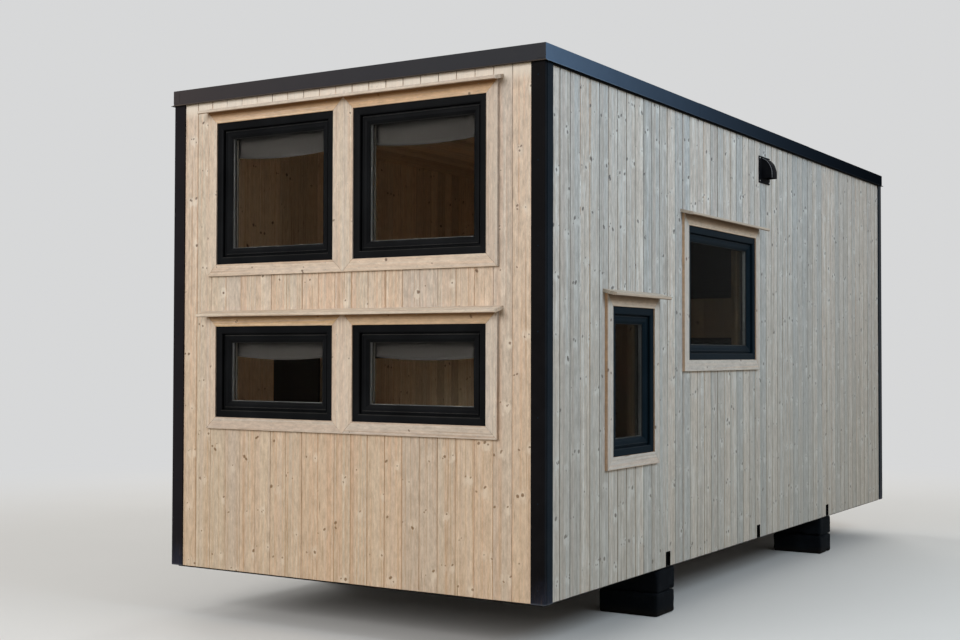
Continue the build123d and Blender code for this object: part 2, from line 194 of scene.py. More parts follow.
class Wire:
    """An output of a node that can be reckoned with."""

    def __init__(self, graph: "Graph", socket: NodeSocket) -> None:
        """Hold the graph and the output."""
        self.graph = graph
        self.socket = socket

    def __add__(self, other: "Value") -> "Wire":
        """Return the sum."""
        return self.graph.math("ADD", self, other)

    def __sub__(self, other: "Value") -> "Wire":
        """Return the difference."""
        return self.graph.math("SUBTRACT", self, other)

    def __mul__(self, other: "Value") -> "Wire":
        """Return the product."""
        return self.graph.math("MULTIPLY", self, other)

    def __truediv__(self, other: "Value") -> "Wire":
        """Return the quotient."""
        return self.graph.math("DIVIDE", self, other)

    __radd__ = __add__
    __rmul__ = __mul__

    def does(self, operation: str, other: "Value" = 0.0) -> "Wire":
        """Return the result of one of the Math node's operations."""
        return self.graph.math(operation, self, other)


Value = Union[float, Wire]


class Graph:
    """A material's nodes, with short methods for the kinds used here."""

    def __init__(self, name: str) -> None:
        """Start an empty material.

        Args:
            name: Its name.
        """
        self.material = bpy.data.materials.new(name)
        self.material.use_nodes = True
        self.tree = self.material.node_tree
        self.tree.nodes.clear()

    @classmethod
    def of(cls, tree: NodeTree) -> "Graph":
        """Return a graph on a tree that exists, emptied.

        Args:
            tree: The tree.

        Returns:
            The graph.
        """
        made = cls.__new__(cls)
        made.tree = tree
        tree.nodes.clear()
        return made

    def put(self, kind: str, values: Optional[dict] = None, **settings: object) -> Node:
        """Add a node.

        Args:
            kind: The node's type without its ShaderNode prefix.
            values: Its inputs by name or number.
            **settings: Its properties.

        Returns:
            The node.
        """
        node = self.tree.nodes.new("ShaderNode" + kind)
        for key, value in settings.items():
            setattr(node, key, value)
        for key, value in (values or {}).items():
            socket = node.inputs[key]
            if isinstance(value, Wire):
                self.tree.links.new(value.socket, socket)
            elif isinstance(value, tuple) and len(value) == 3 and socket.type == "RGBA":
                socket.default_value = (*value, 1.0)
            else:
                socket.default_value = value
        return node

    def wire(self, node: Node, name: Union[str, int] = 0) -> Wire:
        """Return an output of a node."""
        return Wire(self, node.outputs[name])

    def math(self, operation: str, a: Value, b: Value = 0.0) -> Wire:
        """Return the result of a Math node."""
        return self.wire(self.put("Math", {0: a, 1: b}, operation=operation))

    def ease(self, value: Value, low: float, high: float) -> Wire:
        """Return 0 at low and 1 at high, with a smooth step between."""
        values = {"Value": value, "From Min": low, "From Max": high}
        return self.wire(self.put("MapRange", values, interpolation_type="SMOOTHSTEP"))

    def vector(self, x: Value, y: Value, z: Value = 0.0) -> Wire:
        """Return a vector of three values."""
        return self.wire(self.put("CombineXYZ", {0: x, 1: y, 2: z}))

    def noise(self, at: Wire, scale: float = 1.0, detail: float = 2.0, rough: float = 0.5) -> Wire:
        """Return smooth noise from 0 to 1."""
        values = {"Vector": at, "Scale": scale, "Detail": detail, "Roughness": rough}
        return self.wire(self.put("TexNoise", values))

    def cells(self, at: Wire, scale: float, feature: str = "F1") -> Wire:
        """Return the distance to the nearest point of a scatter."""
        return self.wire(self.put("TexVoronoi", {"Vector": at, "Scale": scale}, feature=feature))

    def split(self, kind: str, value: Wire) -> list[Wire]:
        """Return the three parts of a vector or a colour."""
        parts = self.put(kind, {0: value})
        return [self.wire(parts, i) for i in range(3)]

    def random(self, x: Value, y: Value = 0.0, z: Value = 0.0) -> list[Wire]:
        """Return four random numbers for a place."""
        node = self.put("TexWhiteNoise", {"Vector": self.vector(x, y, z)})
        return [self.wire(node, "Value"), *self.split("SeparateColor", self.wire(node, "Color"))]

    def mix(self, share: Value, a: Union[Wire, Colour], b: Union[Wire, Colour]) -> Wire:
        """Return colour a turning into colour b."""
        node = self.put("Mix", {0: share, 6: a, 7: b}, data_type="RGBA")
        return self.wire(node, 2)

    def scaled(self, colour: Wire, by: Value) -> Wire:
        """Return a colour made lighter or darker."""
        node = self.put("VectorMath", {0: colour, "Scale": by}, operation="SCALE")
        return self.wire(node)

    def place(self) -> tuple[Wire, Wire, Wire, Wire]:
        """Return the point on the object, and its three parts."""
        at = self.wire(self.put("TexCoord"), "Object")
        return (at, *self.split("SeparateXYZ", at))

    def board(self) -> tuple[Wire, Wire, Wire]:
        """Read the grain map.

        Returns:
            The distances across and along a board, and the board's number.
        """
        across, along, _ = self.split("SeparateXYZ", self.wire(self.put("UVMap", uv_map="grain")))
        number = across.does("FLOOR")
        return across - number, along, number

    def finish(
        self, colour: Union[Wire, Colour], roughness: Value, height: Optional[Wire] = None,
        relief: float = 0.001, **fixed: object,
    ) -> Material:
        """Close the graph with one surface shader.

        Args:
            colour: The base colour.
            roughness: The roughness.
            height: The relief, or None for a smooth surface.
            relief: How high the relief is, in metres.
            **fixed: Constants for the shader's own sockets, with _ for a space.

        Returns:
            The material.
        """
        values = {"Base Color": colour, "Roughness": roughness}
        values.update({key.replace("_", " "): value for key, value in fixed.items()})
        if height is not None:
            bump = self.put("Bump", {"Strength": 1.0, "Distance": relief, "Height": height})
            values["Normal"] = self.wire(bump)
        shader = self.put("BsdfPrincipled", values)
        self.close(self.wire(shader))
        return self.material

    def close(self, surface: Wire) -> None:
        """Join a shader to the material's output."""
        self.put("OutputMaterial", {"Surface": surface})


def seen(g: Graph) -> Wire:
    """Return 1 for rays that show a surface, and 0 for those that only light others.

    Args:
        g: The graph.

    Returns:
        The share of such rays.
    """
    path = g.put("LightPath")
    shown = g.wire(path, "Is Camera Ray").does("MAXIMUM", g.wire(path, "Is Glossy Ray"))
    return shown.does("MAXIMUM", g.wire(path, "Is Transmission Ray"))


class Finish(Protocol):
    """Anything that can dress a piece."""

    name: str

    def make(self) -> Material:
        """Build the material.

        Returns:
            The material.
        """


# Finishes

class Marks(NamedTuple):
    """What a board's knots do to it at a point, each from 0 to 1 but the last."""

    heart: Wire
    ring: Wire
    halo: Wire
    tail: Wire
    bend: Wire


@dataclass(frozen=True)
class Spruce:
    """Planed spruce boards with small knots in rows."""

    name: str
    light: Colour
    dark: Colour
    blush: Colour
    thread: Colour = (0.4, 0.24, 0.14)
    pale: Colour = (0.78, 0.69, 0.57)
    warm: Colour = (0.62, 0.44, 0.32)
    cool: Colour = (0.59, 0.52, 0.47)
    knot: Colour = (0.21, 0.115, 0.065)
    rim: Colour = (0.05, 0.028, 0.018)
    grey: Colour = (0.46, 0.46, 0.43)
    tinted: float = 0.27
    haloed: float = 0.3
    weathered: float = 0.08
    smears: float = 0.0
    spread: float = 0.11
    whorl: float = 0.3
    knots: float = 0.82
    biggest: float = 0.006
    smallest: float = 0.0033
    differs: float = 0.05
    seed: float = 1.0
    # These fields paint shade and light into the colour: boards darker and warmer towards the bottom, a paler
    # strip under the roof caps, near-black grooves under the caps and a hood shadow along a board's upper
    # edge.
    low_shade_tone: Colour = (0.333, 0.195, 0.059)
    low_shade: float = 0.0
    painted_top_light: float = 0.0
    painted_groove_shade: float = 0.0
    kept: float = 0.0
    painted_hood_shadow_tone: Colour = (0.28, 0.125, 0.036)
    mottled: float = 0.95
    lined: float = 1.0

    def marks(self, g: Graph, across: Wire, along: Wire, board: Wire, phase: Wire) -> Marks:
        """Scatter knots in rows along the boards.

        Args:
            g: The material's graph.
            across: The distance across the board.
            along: The distance along it.
            board: The board's number.
            phase: The board's own random number.

        Returns:
            The marks.
        """
        row = along / self.whorl + phase * 9.7
        index = row.does("FLOOR")
        where = g.random(board, index, self.seed + 5)[0]
        wobble = g.noise(g.vector(across * 210.0, along * 170.0, board), detail=2.0)
        ragged = g.noise(g.vector(across * 52.0, along * 26.0, board * 3.1), detail=3.0, rough=0.6)
        heart = ring = halo = tail = bend = 0.0
        for turn in range(3):
            share, shift, side, size = g.random(board, index, self.seed + 11 + turn)
            up = (row - index - 0.3 - where * 0.4) * self.whorl + (shift - 0.5) * 0.045
            beside = across - side * self.spread
            there = share.does("LESS_THAN", self.knots - 0.15 * turn)
            radius = size * size * self.biggest + self.smallest
            oval = up * (share * 1.3 - 0.55) + beside
            span = (oval * oval + up * up).does("SQRT") / radius * (wobble * 0.9 + 0.55)
            high = up - (shift - 0.5) * 0.052
            wide = (beside * beside * 0.6 + high * high * 0.3).does("SQRT") * (ragged * 2.6 - 0.3)
            long = (beside * beside * 2.4 + up * up * 0.05).does("SQRT") / radius
            heart = there * g.ease(span, 1.12, 0.72) * (size * 0.5 + 0.5) + heart
            ring = there * g.ease((span - 1.0).does("ABSOLUTE"), 0.34, 0.0) + ring
            ring = there * g.ease(span, 0.5, 0.16) * 0.7 + ring
            halo = there * g.ease(wide / (radius + 0.012), 1.25, 0.25) * g.ease(side, 0.2, 0.7) + halo
            tail = there * g.ease(long, 1.9, 0.6) * g.ease(shift, 0.45, 0.85) + tail
            bend = beside * there * (span * span * -0.16).does("EXPONENT") * 0.6 + bend
        return Marks(*(wire.does("MINIMUM", 1.0) for wire in (heart, ring, halo, tail)), bend)

    def slits(self, g: Graph, across: Wire, along: Wire, board: Wire, tone: Wire) -> Wire:
        """Return 1 in the few long thin resin streaks and 0 elsewhere.

        Args:
            g: The material's graph.
            across: The distance across the board.
            along: The distance along it.
            board: The board's number.
            tone: The board's own random number.

        Returns:
            The streaks.
        """
        row = along / 0.83 + tone * 17.0
        index = row.does("FLOOR")
        share, side, place, _ = g.random(board, index, self.seed + 23)
        up = (row - index - 0.3 - place * 0.4) * 0.83
        beside = across - side * self.spread
        span = (beside * beside + up * up * 0.0022).does("SQRT")
        return g.ease(span, 0.0024, 0.0008) * share.does("LESS_THAN", 0.18)

    def make(self) -> Material:
        """Build the material from the boards' own map.

        Returns:
            The material.
        """
        g = Graph(self.name)
        across, along, board = g.board()

        def drawn(x: Wire, y: Wire, shift: float, detail: float = 3.0, rough: float = 0.6) -> Wire:
            """Return noise at a place, shifted for each board."""
            return g.noise(g.vector(x, y, board * shift), detail=detail, rough=rough)

        tone, pith, flush, phase = g.random(board, self.seed)
        _, band_at, band_wide, band_on = g.random(board, self.seed + 2)
        knots = self.marks(g, across, along, board, phase)
        slit = self.slits(g, across, along, board, tone)
        line = across - knots.bend
        wander = g.noise(g.vector(along * 1.1, board * 3.3), detail=1.0) - 0.5
        deep = g.noise(g.vector(along * 0.42, board * 5.1, 3.0), detail=0.0)
        off = line + wander * 0.02 - pith * 0.14 + 0.02
        rings = (off * off + deep * deep * 0.0052).does("SQRT")
        rings = (rings * (flush * 120.0 + 190.0)).does("FRACT")
        late = g.ease(rings, 0.35, 0.92) * g.ease(rings, 1.0, 0.95)
        broad = drawn(line * 46.0, along * 0.6, 2.9)
        fine = drawn(line * 330.0, along * 2.6, 1.7, 2.0, 0.65)
        hair = drawn(line * 105.0, along * 0.7, 6.1)
        cloud = drawn(line * 9.0, along * 2.2, 4.3)
        stripe = drawn(line * 58.0, along * 0.45, 9.1, 2.0)

        depth = (broad - 0.5) * 1.4 + (fine - 0.5) * 0.7 + late * 0.3 + 0.22
        colour = g.mix(depth.does("MINIMUM", 1.0).does("MAXIMUM", 0.0), self.light, self.dark)
        colour = g.mix(g.ease(stripe, 0.53, 0.6) * self.tinted * 1.6, colour, self.warm)
        colour = g.mix(g.ease(stripe, 0.45, 0.38) * self.tinted * 1.6, colour, self.cool)
        colour = g.mix(g.ease(pith, 0.5, 0.9) * self.tinted, colour, self.warm)
        colour = g.mix(g.ease(pith, 0.4, 0.1) * self.tinted * 1.5, colour, self.cool)
        band = g.ease((across - band_at * 0.09 - wander * 0.03).does("ABSOLUTE"), 0.03, 0.004)
        band = band * g.ease(band_on, 0.55, 0.75) * (band_wide * 0.5 + 0.3)
        colour = g.mix(band + g.ease(cloud, 0.5, 0.75) * (flush * 0.4), colour, self.blush)
        strong = drawn(line * 30.0, along * 2.4, 3.7, 2.0, 0.5) * 1.6 + 0.2
        lines = g.ease(hair, 0.57, 0.64) * (phase * 0.35 + 0.24) * strong * self.lined
        colour = g.mix(lines.does("MINIMUM", 1.0), colour, self.thread)
        light = g.ease(hair, 0.41, 0.34) * (flush * 0.4 + 0.2) * strong * self.lined
        colour = g.mix(light.does("MINIMUM", 1.0), colour, self.pale)
        seam = g.ease(across, 0.011, 0.001) * g.ease(band_wide, 0.35, 0.75)
        colour = g.mix(seam * strong * 0.45, colour, self.thread)
        patch = drawn(across * 62.0, along * 15.0, 8.9, 4.0, 0.72)
        flecks = drawn(across * 240.0, along * 55.0, 2.3, 2.0)
        colour = g.scaled(colour, (patch - 0.5) * self.mottled + (flecks - 0.5) * 0.3 + 1.0)
        colour = g.mix(phase * self.weathered + cloud * self.weathered, colour, self.grey)
        if self.smears:
            smear = drawn(line * 24.0, along * 3.2, 7.7, 4.0)
            colour = g.mix(g.ease(smear, 0.5, 0.74) * self.smears, colour, self.pale)
            colour = g.mix(g.ease(smear, 0.44, 0.28) * self.smears * 0.8, colour, self.dark)
        colour = g.scaled(colour, (tone - 0.5) * (2 * self.differs) + 1.0)
        colour = g.mix(knots.halo * self.haloed, colour, self.pale)
        colour = g.mix(knots.tail * 0.42, colour, self.thread)
        speck = g.noise(g.vector(across * 700.0, along * 400.0, board), detail=1.0)
        brown = g.mix(g.ease(speck, 0.35, 0.65), self.knot, self.rim)
        colour = g.mix(knots.heart * 0.86, colour, brown)
        colour = g.mix(knots.ring * 0.62, colour, self.rim)
        colour = g.mix(slit * 0.75, colour, self.rim)
        _, _, _, z = g.place()
        # Painted shade: the boards turn darker and warmer towards the bottom of the wall.
        if self.low_shade:
            low = g.ease(z + cloud * 0.4, 3.2, 0.3)
            colour = g.mix(low * self.low_shade, colour, self.low_shade_tone)
        # Painted light: a paler strip of the boards just under the roof caps.
        if self.painted_top_light:
            colour = g.mix(g.ease(z, 2.88, 2.965) * self.painted_top_light, colour, self.pale)
        # Painted shade: the grooves turn near black just under the roof caps.
        if self.painted_groove_shade:
            colour = g.mix(g.ease(z, 2.94, 2.972) * self.painted_groove_shade, colour, self.rim)
        # Painted shadow: a dark warm band along the upper edge of a board under a hood, where the hood's
        # shadow falls.
        if self.kept:
            colour = g.mix(g.ease(across, 0.048, 0.004) * self.kept, colour, self.painted_hood_shadow_tone)
        rough = (broad - 0.5) * 0.2 + 0.62 - knots.heart * 0.12
        height = late * -0.35 + fine * 0.35 + knots.heart * 0.3 - slit * 0.5
        return g.finish(colour, rough, height + 0.4, 0.0007, Specular_IOR_Level=0.3)


@dataclass(frozen=True)
class Coat:
    """Matt dark coating on folded sheet or window members."""

    name: str
    base: Colour
    worn: Colour = (0.075, 0.08, 0.088)
    dust: Colour = (0.21, 0.2, 0.18)
    roughness: float = 0.42
    specular: float = 0.5
    dusty: float = 0.25
    scuffed: float = 0.0
    haze: Colour = (0.03, 0.036, 0.06)
    scuff: Colour = (0.075, 0.052, 0.042)
    # Painted light and painted reflection: a second colour that the coat turns into along one direction.
    painted_light: Optional[Colour] = None
    painted_light_way: tuple[float, float, float] = (0.0, 0.0, 0.0)
    painted_light_start: float = 0.0

    def make(self) -> Material:
        """Build the material.

        Returns:
            The material.
        """
        g = Graph(self.name)
        at, x, y, z = g.place()
        base: Union[Wire, Colour] = self.base
        # Painted light and painted reflection: the base fades into the painted colour along one direction.
        if self.painted_light:
            reach = g.put("VectorMath", {0: at, 1: self.painted_light_way}, operation="DOT_PRODUCT")
            share = ((g.wire(reach, "Value") + self.painted_light_start) * -1.0).does("EXPONENT")
            base = g.mix(share.does("MINIMUM", 1.0), self.base, self.painted_light)
        up = g.wire(g.put("SeparateXYZ", {0: g.wire(g.put("NewGeometry"), "Normal")}), 2)
        peel = g.noise(at, 900.0, 1.0)
        mottle = g.noise(at, 5.5, 4.0, 0.6)
        grain = g.noise(at, 70.0, 3.0, 0.6)
        specks = g.ease(g.noise(at, 420.0, 1.0), 0.66, 0.78) * 0.12
        film = specks + g.ease(up, 0.2, 0.85) * (mottle * 0.8 + 0.2)
        film = film * (grain * 0.8 + 0.6) * self.dusty
        colour = g.mix(g.ease(mottle, 0.3, 0.8) * 0.1, base, self.worn)
        colour = g.mix(film, colour, self.dust)
        height = peel * 0.25 + grain * 0.2
        if self.scuffed:
            cloudy = g.ease(z + mottle * 0.2 + grain * 0.05, 0.54, 0.36)
            colour = g.mix(cloudy * self.scuffed, colour, self.haze)
            scratch = g.noise(g.vector(x * 150.0, y * 150.0, z * 9.0), 1.0, 3.0, 0.7)
            scratch = g.ease(scratch, 0.5, 0.7) * g.ease(z + mottle * 0.3, 0.64, 0.36)
            colour = g.mix(scratch * self.scuffed, colour, self.scuff)
            edge = g.ease(z, 0.29, 0.283) * (grain + 0.3)
            colour = g.mix(edge * self.scuffed, colour, (0.11, 0.125, 0.15))
            height = height - scratch * 0.3
        rough = mottle * 0.16 + grain * 0.08 + film * 0.5 + (self.roughness - 0.12)
        return g.finish(colour, rough, height, 0.0003, Specular_IOR_Level=self.specular)


@dataclass(frozen=True)
class Metal:
    """Bare brushed or dull metal."""

    name: str
    base: Colour
    stain: Colour
    roughness: float = 0.35

    def make(self) -> Material:
        """Build the material.

        Returns:
            The material.
        """
        g = Graph(self.name)
        at, x, y, z = g.place()
        brush = g.noise(g.vector(x * 60.0, y * 60.0, z * 1400.0), 1.0, 2.0, 0.6)
        spots = g.noise(at, 36.0, 4.0, 0.65)
        colour = g.mix(g.ease(spots, 0.5, 0.75) * 0.6, self.base, self.stain)
        rough = brush * 0.18 + spots * 0.18 + (self.roughness - 0.16)
        return g.finish(colour, rough, brush, 0.00008, Metallic=1.0)


@dataclass(frozen=True)
class PaintedSteel:
    """Black-painted steel with rust coming through."""

    name: str = "painted_steel"
    paint: Colour = (0.006, 0.0062, 0.007)
    rust: Colour = (0.05, 0.021, 0.011)
    mud: Colour = (0.03, 0.025, 0.019)

    def make(self) -> Material:
        """Build the material.

        Returns:
            The material.
        """
        g = Graph(self.name)
        at, _, _, _ = g.place()
        patches = g.noise(at, 7.0, 6.0, 0.68)
        pits = g.noise(at, 180.0, 3.0, 0.6)
        rusty = g.ease(patches + (pits - 0.5) * 0.22, 0.6, 0.7)
        muddy = g.ease(g.noise(at, 2.6, 3.0), 0.52, 0.75) * 0.55
        colour = g.mix(rusty, self.paint, g.mix(pits, self.rust, (0.052, 0.02, 0.011)))
        colour = g.mix(muddy * pits, colour, self.mud)
        return g.finish(
            colour, rusty * 0.34 + 0.46, pits * rusty + pits * 0.2, 0.0006, Specular_IOR_Level=0.06
        )


@dataclass(frozen=True)
class Glass:
    """A clear pane with a faint tint; lamps shine straight through it."""

    name: str
    tint: Colour = (0.89, 0.893, 0.888)
    shade: Colour = (0.86, 0.865, 0.86)
    bend: float = 1.03

    def make(self) -> Material:
        """Build the material.

        Returns:
            The material.
        """
        g = Graph(self.name)
        at, _, _, _ = g.place()
        haze = g.ease(g.noise(at, 3.1, 5.0, 0.65), 0.45, 0.85)
        ripple = g.noise(at, 1.7, 1.0)
        bump = g.put("Bump", {"Strength": 0.12, "Distance": 0.0006, "Height": ripple})
        pane = g.put("BsdfPrincipled", {
            "Base Color": self.tint, "Roughness": haze * 0.03 + 0.004, "IOR": self.bend,
            "Transmission Weight": 1.0, "Normal": g.wire(bump),
        })
        through = g.put("BsdfTransparent", {"Color": self.shade})
        lamps = g.wire(g.put("LightPath"), "Is Shadow Ray")
        g.close(g.wire(g.put("MixShader", {0: lamps, 1: g.wire(pane), 2: g.wire(through)})))
        return g.material


@dataclass(frozen=True)
class Rubber:
    """Soft black seal."""

    name: str = "seal_rubber"
    base: Colour = (0.012, 0.012, 0.013)

    def make(self) -> Material:
        """Build the material.

        Returns:
            The material.
        """
        g = Graph(self.name)
        at, _, _, _ = g.place()
        dust = g.noise(at, 60.0, 3.0)
        colour = g.mix(dust * 0.25, self.base, (0.1, 0.098, 0.09))
        return g.finish(colour, dust * 0.2 + 0.6, dust, 0.0002, Specular_IOR_Level=0.35)


@dataclass(frozen=True)
class BlindCloth:
    """Plain woven blind fabric."""

    name: str = "blind_cloth"
    thread: Colour = (0.041, 0.034, 0.029)
    shadow: Colour = (0.022, 0.019, 0.016)
    pitch: float = 0.0011

    def make(self) -> Material:
        """Build the material from the cloth's own map.

        Returns:
            The material.
        """
        g = Graph(self.name)
        across, along, _ = g.board()
        turn = tau / self.pitch
        warp = (across * turn).does("SINE")
        weft = (along * turn).does("SINE")
        weave = (warp * weft) * 0.5 + 0.5
        slub = g.noise(g.vector(across * 14.0, along * 420.0), 1.0, 2.0)
        cloud = g.noise(g.vector(across * 3.0, along * 3.0), 1.0, 3.0)
        depth = weave * 0.45 + slub * 0.5 + (cloud - 0.5) * 0.5
        colour = g.mix(depth, self.shadow, self.thread)
        return g.finish(colour, 0.86, weave + slub * 0.5, 0.00025, Sheen_Weight=0.25, Sheen_Roughness=0.5)


@dataclass(frozen=True)
class BlockConcrete:
    """Cast block with pores and chalky pale patches, coloured near black as painted shade."""

    name: str = "block_concrete"
    # Painted shade: the block's colours are near black, as the piers look in the shade under the house.
    base: Colour = (0.003, 0.0042, 0.006)
    pale: Colour = (0.0095, 0.0118, 0.015)
    soil: Colour = (0.019, 0.015, 0.011)

    def make(self) -> Material:
        """Build the material.

        Returns:
            The material.
        """
        g = Graph(self.name)
        at, _, _, z = g.place()
        cloud = g.noise(at, 9.0, 5.0, 0.62)
        grit = g.noise(at, 260.0, 3.0, 0.7)
        pores = g.ease(g.cells(at, 95.0), 0.22, 0.08)
        colour = g.mix(g.ease(cloud, 0.38, 0.72) * 0.55 + grit * 0.25, self.base, self.pale)
        colour = g.mix(g.ease(z + cloud * 0.05, 0.085, 0.015) * 0.55, colour, self.soil)
        colour = g.mix(pores * 0.7, colour, (0.014, 0.015, 0.016))
        return g.finish(
            colour, grit * 0.12 + 0.78, grit * 0.6 - pores + cloud * 0.4, 0.0022, Specular_IOR_Level=0.04,
        )


@dataclass(frozen=True)
class RoofFelt:
    """Mineral-faced roofing felt with dust and dried puddles."""

    name: str = "roof_felt"
    base: Colour = (0.034, 0.036, 0.04)
    chip: Colour = (0.15, 0.155, 0.16)
    silt: Colour = (0.17, 0.155, 0.13)

    def make(self) -> Material:
        """Build the material.

        Returns:
            The material.
        """
        g = Graph(self.name)
        at, _, _, _ = g.place()
        chips = g.noise(at, 750.0, 2.0, 0.7)
        worn = g.noise(at, 3.0, 5.0, 0.6)
        pond = g.noise(at, 0.9, 3.0, 0.55)
        edge = g.ease((pond - 0.56).does("ABSOLUTE"), 0.05, 0.0)
        silt = g.ease(pond, 0.48, 0.74) * 0.26 + edge * 0.14
        colour = g.mix(g.ease(chips, 0.52, 0.72), self.base, self.chip)
        colour = g.mix(g.ease(worn, 0.45, 0.75) * 0.35, colour, self.base)
        colour = g.mix(silt * (worn + 0.4), colour, self.silt)
        return g.finish(colour, 0.86, chips, 0.0012)


@dataclass(frozen=True)
class StudTimber:
    """Sawn structural timber and boards, mapped on the wall's own size."""

    name: str
    light: Colour
    dark: Colour
    sheet: float = 1.25

    def make(self) -> Material:
        """Build the material.

        Returns:
            The material.
        """
        g = Graph(self.name)
        at, x, y, z = g.place()
        stretched = g.vector(x * 22.0, y * 1.3, z * 22.0)
        grain = g.noise(stretched, 1.0, 4.0, 0.62)
        fine = g.noise(g.vector(x * 160.0, y * 7.0, z * 160.0), 1.0, 3.0, 0.65)
        cloud = g.noise(at, 1.8, 3.0)
        knots = g.ease(g.cells(g.vector(x * 5.0, y * 2.2, z * 5.0), 1.0), 0.085, 0.045)
        joint = ((y / self.sheet + 0.5).does("FRACT") - 0.5).does("ABSOLUTE")
        joint = g.ease(joint, 0.002, 0.0008)
        colour = g.mix(grain * 0.7 + fine * 0.35 + (cloud - 0.5) * 0.6, self.light, self.dark)
        colour = g.mix(knots * 0.7, colour, (0.09, 0.045, 0.02))
        colour = g.mix(joint * 0.85, colour, (0.02, 0.015, 0.01))
        return g.finish(colour, fine * 0.15 + 0.66, grain * 0.6 + fine * 0.4 - joint, 0.0008)


@dataclass(frozen=True)
class Backdrop:
    """Plain pale studio floor that turns into the backdrop far away."""

    name: str = "studio_floor"
    colour: Colour = (0.71, 0.71, 0.7)
    far: Colour = (0.68, 0.685, 0.69)
    bounce: Colour = (0.3, 0.25, 0.17)
    fade: tuple[float, float] = (4.6, 10.5)

    def make(self) -> Material:
        """Build the material.

        Returns:
            The material.
        """
        g = Graph(self.name)
        at, x, y, _ = g.place()
        cloud = g.noise(at, 0.5, 3.0)
        tone = g.mix(cloud, self.colour, tuple(c * 0.94 for c in self.colour))
        tone = g.mix(seen(g), self.bounce, tone)
        floor = g.put("BsdfPrincipled", {"Base Color": tone, "Roughness": 0.9, "Specular IOR Level": 0.15})
        glow = g.put("Emission", {"Color": self.far, "Strength": 1.0})
        away = g.ease((x * x + y * y).does("SQRT"), *self.fade) * seen(g)
        g.close(g.wire(g.put("MixShader", {0: away, 1: g.wire(floor), 2: g.wire(glow)})))
        return g.material


